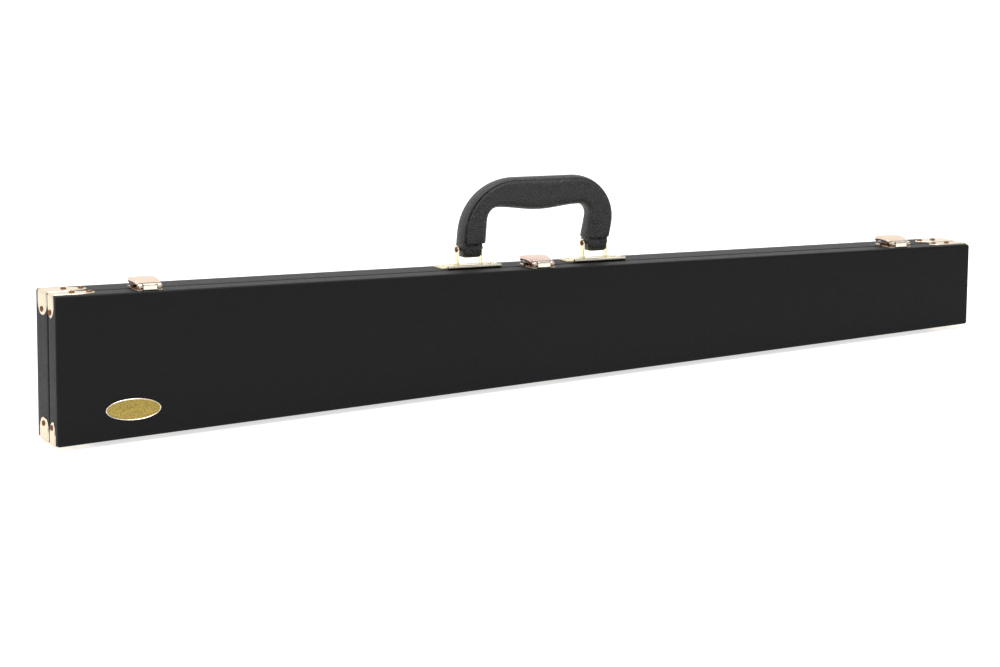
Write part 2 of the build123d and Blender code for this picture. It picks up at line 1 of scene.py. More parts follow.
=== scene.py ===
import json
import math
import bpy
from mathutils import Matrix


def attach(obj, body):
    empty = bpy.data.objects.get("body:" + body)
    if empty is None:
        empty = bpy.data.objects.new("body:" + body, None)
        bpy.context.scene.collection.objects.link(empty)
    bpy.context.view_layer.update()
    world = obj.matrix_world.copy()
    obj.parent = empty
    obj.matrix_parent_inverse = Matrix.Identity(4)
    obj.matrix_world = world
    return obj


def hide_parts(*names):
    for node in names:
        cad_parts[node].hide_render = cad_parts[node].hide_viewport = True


bl_info = {
    "name": "Bass bow case",
    "version": (1, 0, 0),
    "blender": (4, 5, 0),
    "location": "View3D > Sidebar > Bow case",
    "description": "Dresses the frame of a double bass bow case and sets up its studio",
    "category": "Object",
}

import bmesh
import bpy
from mathutils import Matrix, Vector

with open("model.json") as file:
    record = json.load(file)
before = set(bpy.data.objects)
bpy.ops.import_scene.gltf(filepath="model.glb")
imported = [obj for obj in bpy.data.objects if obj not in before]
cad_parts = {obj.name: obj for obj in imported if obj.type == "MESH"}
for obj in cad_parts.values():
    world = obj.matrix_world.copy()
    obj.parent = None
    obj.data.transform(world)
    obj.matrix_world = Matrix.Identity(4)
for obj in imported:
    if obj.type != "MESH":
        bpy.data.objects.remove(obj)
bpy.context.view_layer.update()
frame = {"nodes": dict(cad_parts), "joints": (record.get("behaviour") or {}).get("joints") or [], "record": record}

MM = 0.001
CASE_LENGTH_MM = 800
FROG_HEIGHT_MM = 112
TIP_HEIGHT_MM = 68

# Vertices closer than this are one, and a fitting's underside lies this far above what it is on.
WELD = 0.002 * MM
SEAT = 0.02 * MM
CORNER_STEPS = 5
SHELL_BODIES = {"lid": "lid", "back": "case"}


def linear(hex_colour):
    """An sRGB hex colour as linear red, green and blue."""
    channels = [int(hex_colour[i : i + 2], 16) / 255 for i in (1, 3, 5)]
    return tuple(c / 12.92 if c <= 0.04045 else ((c + 0.055) / 1.055) ** 2.4 for c in channels)


def length(name, description, default_mm):
    """A length property whose default is given in millimetres."""
    return bpy.props.FloatProperty(
        name=name, description=description, default=default_mm * MM, unit="LENGTH", precision=5
    )


def colour(name, description, default_hex):
    """A colour property whose default is an sRGB hex value."""
    return bpy.props.FloatVectorProperty(
        name=name, description=description, default=linear(default_hex), subtype="COLOR", size=3
    )


class BowCaseShellSettings(bpy.types.PropertyGroup):
    """Sizes and colours of the two covered shells."""

    case_length: length("Length", "Length along the straight top edge", CASE_LENGTH_MM)
    thickness: length("Thickness", "From the lid's face to the back", 50)
    frog_height: length("Frog end height", "Height of the frog end", FROG_HEIGHT_MM)
    lid_depth: length("Lid depth", "Depth of the lid", 20)
    rim_gap: length("Rim gap", "Gap between the two rims", 0.4)
    cover: length("Cover", "Thickness of the leathercloth", 0.8)
    panel: length("Board", "Thickness of the board", 4)
    rail: length("Rail", "Thickness of the rails", 6)
    lining: length("Lining", "Thickness of the velvet lining", 1.2)
    corner_rounding: length("Corner rounding", "Rounding of the four end corners", 2)
    edge_rounding: length("Edge rounding", "Rounding of the face's edges", 1.9)
    rim_rounding: length("Rim rounding", "Rounding of the rim's edges", 2.4)
    leathercloth: colour("Leathercloth", "Colour of the covering", "#0e0e10")
    velvet: colour("Velvet", "Colour of the lining", "#5d1c28")


class BowCaseMetalSettings(bpy.types.PropertyGroup):
    """Sizes and colours of the metal fittings."""

    cap_sheet: length("Cap sheet", "Thickness of the corner caps", 0.7)
    cap_long_leg: length("Cap long leg", "Reach of a cap along the case", 34)
    cap_short_leg: length("Cap short leg", "Reach of a cap down the end", 18)
    lid_cap_front: length("Lid cap front", "From the lid's face to its caps", 5.2)
    back_cap_rear: length("Back cap rear", "From the case's back to its caps", 7)
    cap_rim_margin: length("Cap rim margin", "From a rim to its caps", 1.5)
    cap_tip_rivet: length("Cap tip to rivet", "From a cap's tip to its rivet", 4.8)
    cap_rivet_pitch: length("Cap rivet pitch", "Between the rivets of a long leg", 13.3)
    rivet_head: length("Rivet head", "Radius of a rivet's head", 2.3)
    rivet_rise: length("Rivet rise", "Height of a rivet's head", 1.4)
    latch_width: length("Latch width", "Width of a latch", 19.5)
    latch_front: length("Latch front", "Front edge of a latch's base", 3.5)
    latch_rear: length("Latch rear", "Rear edge of a latch's flap", 31.2)
    latch_middle: length("Latch middle", "Width of the flap's middle knuckle", 10.8)
    latch_sheet: length("Latch sheet", "Thickness of the base and the strike", 0.7)
    flap_sheet: length("Flap sheet", "Thickness of the flap", 0.9)
    knuckle: length("Knuckle", "Radius of a latch's knuckles", 2)
    strike_front: length("Strike front", "Front edge of the strike", 21)
    flap_crown: length("Flap crown", "Rise of the flap's crown", 3)
    strike_rear: length("Strike rear", "Rear edge of the strike", 29)
    latch_rivet_reach: length("Latch rivet reach", "From a latch's middle to its rivets", 6.5)
    latch_rivet_front: length("Latch rivet front", "Rivets of the base", 13.8)
    latch_rivet_rear: length("Latch rivet rear", "Rivets of the strike", 23.4)
    pale_brass: colour("Pale brass", "Colour of the caps", "#f6e3c4")
    # The hinges' colour is a darker copy of the brass: painted shade for the hinges under the case.
    hinge_brass: colour("Hinge brass", "Colour of the hinges", "#8d7a52")
    yellow_brass: colour("Yellow brass", "Colour of the handle plates", "#fdf0c9")
    pale_gilt: colour("Pale gilt", "Colour of the outer latches", "#f7dfc9")
    rose_gilt: colour("Rose gilt", "Colour of the middle latch", "#f6dacc")
    copper: colour("Copper", "Colour of the rivet heads", "#8a6240")
    badge_gold: colour("Badge gold", "Colour of the badge's field", "#d2b865")


class BowCaseHandleSettings(bpy.types.PropertyGroup):
    """Sizes and colours of the handle."""

    plates_middle: length("Plates' middle", "Midway between the two plates", 402)
    plate_spacing: length("Plate spacing", "Distance between the two plates", 111)
    plate_length: length("Plate length", "Length of a handle plate", 53)
    plate_width: length("Plate width", "Width of a handle plate", 24.6)
    plate_sheet: length("Plate sheet", "Thickness of a handle plate", 1.2)
    plate_rivet_inset: length("Plate rivet inset", "From a plate's end to its rivets", 5.6)
    plate_rivet_spread: length("Plate rivet spread", "Between a plate's rivets", 13)
    depth_place: length("Depth place", "Place of the handle from the lid's face", 33)
    pivot_height: length("Pivot height", "Height of the pins above the top", 14.3)
    post_spacing: length("Post spacing", "Between the two posts of a plate", 20.4)
    post_width: length("Post width", "Width of a post", 6.4)
    grip_middle: length("Grip's middle", "Midway between the grip's legs", 403.1)
    grip_spacing: length("Grip spacing", "Distance between the grip's legs", 109.4)
    leg_width: length("Leg width", "Width of the grip's legs", 21.6)
    grip_depth: length("Grip depth", "Thickness of the grip from front to back", 21)
    grip_foot: length("Grip foot", "Foot of the grip above the pins", 5.2)
    grip_rise: length("Grip rise", "Top of the grip above the pins", 55.3)
    bar: length("Bar", "Thickness of the grip's bar", 23.2)
    belly: length("Belly", "How far the bar's underside swells", 3)
    frog_bend: length("Frog bend", "Radius of the outer shoulder at the frog end", 47)
    tip_bend: length("Tip bend", "Radius of the outer shoulder at the tip end", 34)
    inner_bend: length("Inner bend", "Radius of the inner shoulders", 8.8)
    frog_slope: bpy.props.FloatProperty(
        name="Frog slope", description="Slope of the frog leg", default=0.075
    )
    tip_slope: bpy.props.FloatProperty(
        name="Tip slope", description="Slope of the tip leg", default=0.2
    )
    leather: colour("Leather", "Colour of the grip's leather", "#131314")


def settings():
    """The three groups of settings, on the scene."""
    scene = bpy.context.scene
    return scene.bow_case_shells, scene.bow_case_metal, scene.bow_case_handle


# Each latch's middle along the top edge, and the pin of a latch, in the case frame.
LATCHES = {"frog": 73.6 * MM, "middle": 398.5 * MM, "tip": 733.1 * MM}
LATCH_AXIS = Vector((0, 5.7 * MM, 115 * MM))
CASE_SLANT = math.atan2(FROG_HEIGHT_MM - TIP_HEIGHT_MM, CASE_LENGTH_MM)


def case_matrix():
    """From the case frame, whose top edge is level, to the standing frame of the CAD model."""
    turn = Matrix.Rotation(CASE_SLANT, 4, "Y")
    joint = next(j for j in frame["joints"] if j["name"] == "latch_frog_turn")
    known = Vector((LATCHES["frog"], LATCH_AXIS.y, LATCH_AXIS.z))
    corner = Vector(joint["pos_m"]) - turn.to_3x3() @ known
    return Matrix.Translation(corner) @ turn


CASE = case_matrix()
TOP = FROG_HEIGHT_MM * MM


# Meshes


def loft(bm, rings, caps=True):
    """Skin a list of rings with the same number of points, and close the ends."""
    rows = [[bm.verts.new(point) for point in ring] for ring in rings]
    count = len(rows[0])
    for low, high in zip(rows, rows[1:]):
        for i in range(count):
            j = (i + 1) % count
            bm.faces.new((low[i], low[j], high[j], high[i]))
    if caps:
        bm.faces.new(rows[0][::-1])
        bm.faces.new(rows[-1])


def corner_arc(before, corner, after, radius, steps):
    """Points of the arc that rounds one corner, from the side before it to the side after."""
    back = (before - corner).normalized()
    ahead = (after - corner).normalized()
    half = back.angle(ahead) / 2
    reach = radius / math.tan(half)
    centre = corner + (back + ahead).normalized() * (radius / math.sin(half))
    first = corner + back * reach - centre
    last = corner + ahead * reach - centre
    return [centre + first.lerp(last, k / steps).normalized() * radius for k in range(steps + 1)]


def rounded_corners(points, radius):
    """A closed outline in a plane with its corners turned into arcs."""
    count = len(points)
    result = []
    for i, corner in enumerate(points):
        result += corner_arc(points[i - 1], corner, points[(i + 1) % count], radius, CORNER_STEPS)
    return result


def case_ring(inset, y, rounding):
    """The case's front outline at a depth, drawn in from the outer surface."""
    shells = settings()[0]
    slope = math.tan(CASE_SLANT)
    lift = inset / math.cos(CASE_SLANT)
    left = inset
    right = shells.case_length - inset
    top = shells.frog_height - inset
    corners = [
        Vector((left, y, left * slope + lift)),
        Vector((right, y, right * slope + lift)),
        Vector((right, y, top)),
        Vector((left, y, top)),
    ]
    return rounded_corners(corners, max(rounding, 0.05 * MM))


def rectangle(x0, x1, y0, y1, z, radius):
    """A rounded rectangle in a level plane."""
    corners = [Vector((x0, y0, z)), Vector((x1, y0, z)), Vector((x1, y1, z)), Vector((x0, y1, z))]
    return rounded_corners(corners, radius)


def slab(bm, x_range, y_range, z_range, radius, bevel):
    """A flat plate with rounded corners and softened edges."""
    bottom, top = z_range
    middle = bevel * 0.29
    levels = [
        (bevel, bottom), (0, bottom + bevel), (0, top - bevel), (middle, top - middle), (bevel, top)
    ]
    rings = [
        rectangle(
            x_range[0] + inset,
            x_range[1] - inset,
            y_range[0] + inset,
            y_range[1] - inset,
            z,
            max(radius - inset, 0.05 * MM),
        )
        for inset, z in levels
    ]
    loft(bm, rings)


def lathe(bm, profile, y, z, sides=28):
    """A turned solid along X, from a list of places along it and radii."""
    angles = [2 * math.pi * i / sides for i in range(sides)]
    rings = [
        [Vector((x, y + r * math.cos(angle), z + r * math.sin(angle))) for angle in angles]
        for x, r in profile
    ]
    loft(bm, rings)


def rod(bm, x_range, y, z, radius, bevel, sides=28):
    """A round rod along X with softened ends."""
    start, end = x_range
    soft = [(0, radius - bevel), (0.3 * bevel, radius - 0.3 * bevel), (bevel, radius)]
    profile = [(start + x, r) for x, r in soft] + [(end - x, r) for x, r in soft[::-1]]
    lathe(bm, profile, y, z, sides)


def mark_faces(bm, shaded):
    """Mark rolled edges and shaded heights for painted shade, and forward faces for a painted highlight."""
    painted_shade = bm.faces.layers.float.new("painted_shade")
    painted_highlight = bm.faces.layers.float.new("painted_highlight")
    for face in bm.faces:
        # Thin faces at rolled edges, and faces between the shaded heights, get painted shade: a dark brown in
        # place of shade and dark reflections.
        thin = min(edge.calc_length() for edge in face.edges) < 0.3 * MM
        low = shaded[0] < face.calc_center_median().z < shaded[1]
        face[painted_shade] = float(thin or low)
        # Faces that look forward get a painted highlight: a near white in place of a bright reflection.
        face[painted_highlight] = float(face.normal.y < -0.5)


def show_piece(name, mesh, body, slot, replaced):
    """Give a mesh its finish and show it as a piece that rides on a body."""
    mesh.materials.clear()
    mesh.materials.append(finish_materials()[slot])
    piece = bpy.data.objects.new(name, mesh)
    bpy.context.scene.collection.objects.link(piece)
    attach(piece, body)
    if replaced:
        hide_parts(*replaced)
    return piece


def add_piece(bm, name, body, slot, replaced=(), sharp=40, matrix=CASE, shaded=(0, 0)):
    """Turn a mesh in the case frame into a piece that rides on a body."""
    bmesh.ops.remove_doubles(bm, verts=bm.verts, dist=WELD)
    bmesh.ops.recalc_face_normals(bm, faces=bm.faces)
    mark_faces(bm, shaded)
    bm.transform(matrix)
    mesh = bpy.data.meshes.new(name)
    bm.to_mesh(mesh)
    bm.free()
    mesh.shade_smooth()
    mesh.set_sharp_from_angle(angle=math.radians(sharp))
    return show_piece(name, mesh, body, slot, replaced)


# Materials

# Width of the grain on the grip and its core, and the share of a cell that its crease takes.
HANDLE_GRAIN = 1.9 * MM
HANDLE_CREASE = 0.32


def add_node(tree, kind, inputs=None, **options):
    """Add a node, set its options, and set or link its inputs."""
    made = tree.nodes.new(kind)
    for name, value in options.items():
        setattr(made, name, value)
    for name, value in (inputs or {}).items():
        if isinstance(value, bpy.types.NodeSocket):
            tree.links.new(value, made.inputs[name])
        else:
            made.inputs[name].default_value = value
    return made


def new_material(name, **shader_values):
    """A material with one Principled shader, and its Object coordinates."""
    material = bpy.data.materials.new(name)
    material.use_nodes = True
    tree = material.node_tree
    tree.nodes.clear()
    shader = add_node(tree, "ShaderNodeBsdfPrincipled", shader_values)
    add_node(tree, "ShaderNodeOutputMaterial", {"Surface": shader.outputs["BSDF"]})
    place = add_node(tree, "ShaderNodeTexCoord").outputs["Object"]
    return material, tree, shader, place


def opaque(rgb):
    """A colour with its alpha."""
    return (rgb[0], rgb[1], rgb[2], 1)


def varied(tree, place, rgb, scale, dark, light):
    """A colour that drifts between two tones, in about that many patches to the metre."""
    noise = add_node(tree, "ShaderNodeTexNoise", {"Vector": place, "Scale": scale, "Detail": 4.0})
    low = opaque([c * dark for c in rgb])
    high = opaque([min(c * light, 1) for c in rgb])
    return add_node(
        tree,
        "ShaderNodeMix",
        {"Factor": noise.outputs["Fac"], "A": low, "B": high},
        data_type="RGBA",
    ).outputs["Result"]


def pebble_height(tree, place, grain, softness):
    """Height of a pebbled leather grain: rounded cells parted by fine creases."""
    warp = add_node(
        tree, "ShaderNodeTexNoise", {"Vector": place, "Scale": 0.35 / grain, "Detail": 2.0}
    )
    bent = add_node(
        tree,
        "ShaderNodeMix",
        {"Factor": 0.0006, "A": place, "B": warp.outputs["Color"]},
        data_type="VECTOR",
    )
    cells = add_node(
        tree,
        "ShaderNodeTexVoronoi",
        {"Vector": bent.outputs["Result"], "Scale": 1 / grain, "Randomness": 0.9},
        feature="DISTANCE_TO_EDGE",
    )
    return add_node(
        tree,
        "ShaderNodeMapRange",
        {"Value": cells.outputs["Distance"], "From Min": 0.0, "From Max": softness},
        interpolation_type="SMOOTHERSTEP",
    ).outputs["Result"]


def leathercloth():
    """Vinyl-coated cloth, calendered with a fine pebble: black, with a soft even gloss.

    The real pebble is about 0.7 mm wide, too fine to show, so it is drawn at 1.5 mm.
    """
    shells = settings()[0]
    material, tree, shader, place = new_material(
        "leathercloth", **{"Roughness": 0.5, "IOR": 1.5, "Specular IOR Level": 0.25}
    )
    grain = 1.5 * MM
    tone = varied(tree, place, shells.leathercloth, 60, 0.9, 1.12)
    tree.links.new(tone, shader.inputs["Base Color"])
    height = pebble_height(tree, place, grain, 0.25)
    bump = add_node(
        tree, "ShaderNodeBump", {"Height": height, "Strength": 0.6, "Distance": 0.1 * MM}
    )
    tree.links.new(bump.outputs["Normal"], shader.inputs["Normal"])
    gloss = add_node(
        tree,
        "ShaderNodeMapRange",
        {"Value": height, "From Min": 0.0, "From Max": 1.0, "To Min": 0.6, "To Max": 0.46},
    )
    tree.links.new(gloss.outputs["Result"], shader.inputs["Roughness"])
    return material


def grip_leather():
    """Drum-dyed leather stretched over felt: black, with a pebbled grain and a soft shine.

    The grain is about 1 mm wide, drawn at 1.9 mm so that it shows at this distance.
    """
    handle = settings()[2]
    material, tree, shader, place = new_material(
        "glazed_leather", **{"Roughness": 0.4, "IOR": 1.48, "Specular IOR Level": 0.85}
    )
    height = pebble_height(tree, place, HANDLE_GRAIN, HANDLE_CREASE)
    tone = varied(tree, place, handle.leather, 90, 0.8, 1.25)
    # Painted shade: the creases of the grain are darkened to near black, and the crowns keep the leather's tone.
    painted_crease_shade = add_node(
        tree,
        "ShaderNodeMix",
        {"Factor": height, "A": opaque(linear("#030303")), "B": tone},
        data_type="RGBA",
    )
    tree.links.new(painted_crease_shade.outputs["Result"], shader.inputs["Base Color"])
    fine = add_node(tree, "ShaderNodeTexNoise", {"Vector": place, "Scale": 900, "Detail": 3.0})
    both = add_node(
        tree,
        "ShaderNodeMath",
        {0: fine.outputs["Fac"], 1: 0.35, 2: height},
        operation="MULTIPLY_ADD",
    )
    bump = add_node(
        tree, "ShaderNodeBump", {"Height": both.outputs[0], "Strength": 1.0, "Distance": 0.45 * MM}
    )
    tree.links.new(bump.outputs["Normal"], shader.inputs["Normal"])
    gloss = add_node(
        tree,
        "ShaderNodeMapRange",
        {"Value": height, "From Min": 0.0, "From Max": 1.0, "To Min": 0.55, "To Max": 0.3},
    )
    tree.links.new(gloss.outputs["Result"], shader.inputs["Roughness"])
    return material


def plated_sheet(name, rgb, roughness, drift=0.06):
    """Stamped sheet brass, polished and plated: bright, with a painted brown shade at its rolled edges and low
    faces and a painted highlight on its forward faces.
    """
    material, tree, shader, place = new_material(name, **{"Metallic": 1.0, "Roughness": roughness})
    tone = varied(tree, place, rgb, 220, 1 - drift, 1 + drift)
    # These marks mix a painted highlight (near white) and a painted shade (dark brown) into the metal's colour.
    for attribute, share, tint in (("painted_highlight", 0.75, "#fffbee"), ("painted_shade", 0.7, "#7d5a30")):
        mark = add_node(tree, "ShaderNodeAttribute", attribute_name=attribute).outputs["Fac"]
        scaled = add_node(tree, "ShaderNodeMath", {0: mark, 1: share}, operation="MULTIPLY")
        factor = scaled.outputs[0]
        tone = add_node(
            tree,
            "ShaderNodeMix",
            {"Factor": factor, "A": tone, "B": opaque(linear(tint))},
            data_type="RGBA",
        ).outputs["Result"]
    tree.links.new(tone, shader.inputs["Base Color"])
    marks = add_node(tree, "ShaderNodeTexNoise", {"Vector": place, "Scale": 700, "Detail": 5.0})
    gloss = add_node(
        tree,
        "ShaderNodeMapRange",
        {
            "Value": marks.outputs["Fac"],
            "From Min": 0.3,
            "From Max": 0.7,
            "To Min": roughness * 0.75,
            "To Max": roughness * 1.35,
        },
    )
    tree.links.new(gloss.outputs["Result"], shader.inputs["Roughness"])
    bump = add_node(
        tree,
        "ShaderNodeBump",
        {"Height": marks.outputs["Fac"], "Strength": 0.08, "Distance": 0.02 * MM},
    )
    tree.links.new(bump.outputs["Normal"], shader.inputs["Normal"])
    return material


def aged_rivet():
    """Copper-plated steel rivet, gone brown in its lows: warm, half dull."""
    metal = settings()[1]
    material, tree, shader, place = new_material(
        "copper_rivet", **{"Metallic": 1.0, "Roughness": 0.36}
    )
    tone = varied(tree, place, metal.copper, 900, 0.45, 1.25)
    tree.links.new(tone, shader.inputs["Base Color"])
    return material


def granular_gold():
    """Die-struck brass with a grained ground: each grain is about 0.55 mm across."""
    metal = settings()[1]
    material, tree, shader, place = new_material(
        "badge_ground", **{"Metallic": 1.0, "Roughness": 0.38}
    )
    grains = add_node(
        tree, "ShaderNodeTexVoronoi", {"Vector": place, "Scale": 1 / (0.55 * MM), "Randomness": 1.0}
    )
    # Painted shade and highlight: each grain is lighter at its middle and darker towards its edges, in the hollows
    # between grains.
    tone = add_node(
        tree,
        "ShaderNodeMapRange",
        {
            "Value": grains.outputs["Distance"],
            "From Min": 0.1,
            "From Max": 0.75,
            "To Min": 1.0,
            "To Max": 0.0,
        },
    )
    dark = opaque([c * 0.5 for c in metal.badge_gold])
    bright = opaque([min(c * 1.35, 1) for c in metal.badge_gold])
    mixed = add_node(
        tree,
        "ShaderNodeMix",
        {"Factor": tone.outputs["Result"], "A": dark, "B": bright},
        data_type="RGBA",
    )
    tree.links.new(mixed.outputs["Result"], shader.inputs["Base Color"])
    bump = add_node(
        tree,
        "ShaderNodeBump",
        {"Height": tone.outputs["Result"], "Strength": 0.9, "Distance": 0.15 * MM},
    )
    tree.links.new(bump.outputs["Normal"], shader.inputs["Normal"])
    return material


def velvet(name):
    """Short-pile cotton velvet: deep colour that lightens at grazing angles."""
    shells = settings()[0]
    material, tree, shader, place = new_material(
        name,
        **{
            "Roughness": 0.85,
            "Sheen Weight": 0.7,
            "Sheen Roughness": 0.4,
            "Specular IOR Level": 0.2,
        },
    )
    tone = varied(tree, place, shells.velvet, 130, 0.75, 1.2)
    tree.links.new(tone, shader.inputs["Base Color"])
    pile = add_node(tree, "ShaderNodeTexNoise", {"Vector": place, "Scale": 1500, "Detail": 2.0})
    bump = add_node(
        tree,
        "ShaderNodeBump",
        {"Height": pile.outputs["Fac"], "Strength": 0.5, "Distance": 0.25 * MM},
    )
    tree.links.new(bump.outputs["Normal"], shader.inputs["Normal"])
    return material


def plywood():
    """Birch plywood and rails, sanded: pale, with grain along the case."""
    material, tree, shader, place = new_material("birch_ply", **{"Roughness": 0.6})
    stretch = add_node(tree, "ShaderNodeMapping", {"Vector": place, "Scale": (12, 400, 400)})
    grain = add_node(
        tree,
        "ShaderNodeTexNoise",
        {"Vector": stretch.outputs["Vector"], "Scale": 1.0, "Detail": 6.0},
    )
    mixed = add_node(
        tree,
        "ShaderNodeMix",
        {
            "Factor": grain.outputs["Fac"],
            "A": opaque(linear("#b48a5a")),
            "B": opaque(linear("#e0c08e")),
        },
        data_type="RGBA",
    )
    tree.links.new(mixed.outputs["Result"], shader.inputs["Base Color"])
    return material


def moulded_core():
    """Injection-moulded nylon: black, with a leather grain moulded in."""
    material, tree, shader, place = new_material(
        "core_nylon", **{"Roughness": 0.35, "IOR": 1.5, "Specular IOR Level": 0.7}
    )
    height = pebble_height(tree, place, HANDLE_GRAIN, HANDLE_CREASE)
    # Painted shade: the creases of the moulded grain are darker than its crowns.
    tone = add_node(
        tree,
        "ShaderNodeMix",
        {"Factor": height, "A": opaque(linear("#050505")), "B": opaque(linear("#101011"))},
        data_type="RGBA",
    )
    tree.links.new(tone.outputs["Result"], shader.inputs["Base Color"])
    bump = add_node(
        tree, "ShaderNodeBump", {"Height": height, "Strength": 0.9, "Distance": 0.35 * MM}
    )
    tree.links.new(bump.outputs["Normal"], shader.inputs["Normal"])
    return material


def turned_steel():
    """Drawn steel pin: grey and bright, with a faint mottle."""
    material, tree, shader, place = new_material(
        "drawn_steel", **{"Metallic": 1.0, "Roughness": 0.3}
    )
    tone = varied(tree, place, linear("#a9a49c"), 800, 0.8, 1.1)
    tree.links.new(tone, shader.inputs["Base Color"])
    return material


FINISHES = {}


def finish_materials():
    """All finishes, by the record's material slot, made once."""
    metal = settings()[1]
    if not FINISHES:
        FINISHES.update(
            {
                "case_leathercloth": leathercloth(),
                "plywood": plywood(),
                "velvet_lining": velvet("cotton_velvet"),
                "velvet_padding": velvet("padded_velvet"),
                "pale_brass": plated_sheet("plated_brass", metal.pale_brass, 0.22),
                "hinge_brass": plated_sheet("shaded_hinge_brass", metal.hinge_brass, 0.4),
                "copper_rivets": aged_rivet(),
                "pin_steel": turned_steel(),
                "rose_gilt": plated_sheet("rose_plated_steel", metal.rose_gilt, 0.2),
                "pale_gilt": plated_sheet("gilt_plated_steel", metal.pale_gilt, 0.2),
                "yellow_brass": plated_sheet("polished_brass", metal.yellow_brass, 0.13),
                "handle_core_plastic": moulded_core(),
                "grip_leather": grip_leather(),
                "badge_brass": granular_gold(),
                "button_brass": plated_sheet("cast_brass", linear("#c9a662"), 0.3),
            }
        )
    return FINISHES


# Covered shells


def shell_planes(shell):
    """Face and rim of a shell along Y, and the way from its face to its rim."""
    shells = settings()[0]
    if shell == "lid":
        return 0.0, shells.lid_depth - shells.rim_gap / 2, 1
    return shells.thickness, shells.lid_depth + shells.rim_gap / 2, -1


def cover_rings(shell):
    """Rings of the leathercloth skin, from the middle of the face round to its back."""
    shells = settings()[0]
    face, rim, way = shell_planes(shell)
    edge = shells.edge_rounding
    soft = shells.rim_rounding
    corner = shells.corner_rounding
    wall = shells.cover + shells.rail
    steps = 6
    profile = []
    for k in range(steps + 1):
        angle = math.pi / 2 * k / steps
        profile.append((edge * (1 - math.sin(angle)), face + way * edge * (1 - math.cos(angle))))
    for k in range(1, 4):
        part = k / 4
        profile.append((0.0, face + way * edge + (rim - way * soft - face - way * edge) * part))
    for k in range(steps + 1):
        angle = math.pi / 2 * k / steps
        profile.append((soft * (1 - math.cos(angle)), rim - way * soft * (1 - math.sin(angle))))
    profile.append((wall, rim))
    profile.append((wall, rim - way * shells.cover))
    profile.append((shells.cover, rim - way * shells.cover))
    profile.append((shells.cover, face + way * shells.cover))
    return [case_ring(inset, y, corner - inset) for inset, y in profile]


def make_cover(shell):
    """The leathercloth skin of one shell."""
    bm = bmesh.new()
    loft(bm, cover_rings(shell))
    add_piece(
        bm, f"{shell}_leathercloth", SHELL_BODIES[shell], "case_leathercloth",
        (f"{shell}_cover",), sharp=30,
    )


def make_lining(shell):
    """The velvet tray of one shell, with soft inner corners."""
    shells = settings()[0]
    face, rim, way = shell_planes(shell)
    wall = shells.cover + shells.rail
    inner = wall + shells.lining
    floor = face + way * (shells.cover + shells.panel)
    lined = floor + way * shells.lining
    soft = 3 * MM
    lip = shells.lining / 2
    profile = [(wall, floor), (wall, rim - way * lip)]
    for k in range(5):
        angle = math.pi * k / 4
        inset = wall + lip - lip * math.cos(angle)
        profile.append((inset, rim - way * lip * (1 - math.sin(angle))))
    profile.append((inner, lined + way * soft))
    for k in range(1, 6):
        angle = math.pi / 2 * k / 5
        inset = inner + soft * (1 - math.cos(angle))
        profile.append((inset, lined + way * soft * (1 - math.sin(angle))))
    bm = bmesh.new()
    loft(bm, [case_ring(inset, y, 1 * MM) for inset, y in profile])
    add_piece(
        bm, f"{shell}_velvet_tray", SHELL_BODIES[shell], "velvet_lining",
        (f"{shell}_lining",), sharp=50,
    )


# Corner caps and rivets


def cap_bands():
    """Where the caps of each shell lie from front to back."""
    shells, metal, _ = settings()
    lid_rim = shells.lid_depth - shells.rim_gap / 2
    back_rim = shells.lid_depth + shells.rim_gap / 2
    return {
        "lid": (metal.lid_cap_front, lid_rim - metal.cap_rim_margin),
        "back": (back_rim + metal.cap_rim_margin, shells.thickness - metal.back_cap_rear),
    }


def cap_corner(end, level):
    """A corner of the case: its place, the ways along its two walls, and their outward normals."""
    shells = settings()[0]
    way = 1 if end == "frog" else -1
    x = 0.0 if end == "frog" else shells.case_length
    slope = math.tan(CASE_SLANT)
    if level == "upper":
        corner = Vector((x, 0, shells.frog_height))
        along, down, out = Vector((way, 0, 0)), Vector((0, 0, -1)), Vector((0, 0, 1))
        return corner, along, down, out, Vector((-way, 0, 0))
    corner = Vector((x, 0, x * slope))
    along = Vector((way, 0, way * slope)).normalized()
    out = Vector((slope, 0, -1)).normalized()
    return corner, along, Vector((0, 0, 1)), out, Vector((-way, 0, 0))


def arch_width(distance, leg, half_width):
    """Half the width of a cap's leg, which closes to a pointed arch."""
    point = min(half_width * 1.9, leg * 0.6)
    past = distance - (leg - point)
    if past <= 0:
        return half_width
    radius = (point * point + half_width * half_width) / (2 * half_width)
    return max(half_width - radius + math.sqrt(max(radius * radius - past * past, 0)), 0)


def cap_surface(corner, s, y, height, rounding):
    """A point over the bent corner: s runs from the short leg round to the long one."""
    place, along, down, out_along, out_end = corner
    if s > rounding:
        point = place + along * s + out_along * height
    elif s < -rounding:
        point = place - down * s + out_end * height
    else:
        part = (s + rounding) / (2 * rounding)
        normal = out_end.slerp(out_along, part)
        centre = place + (along + down) * rounding
        point = centre + normal * (rounding + height)
    return Vector((point.x, y, point.z))


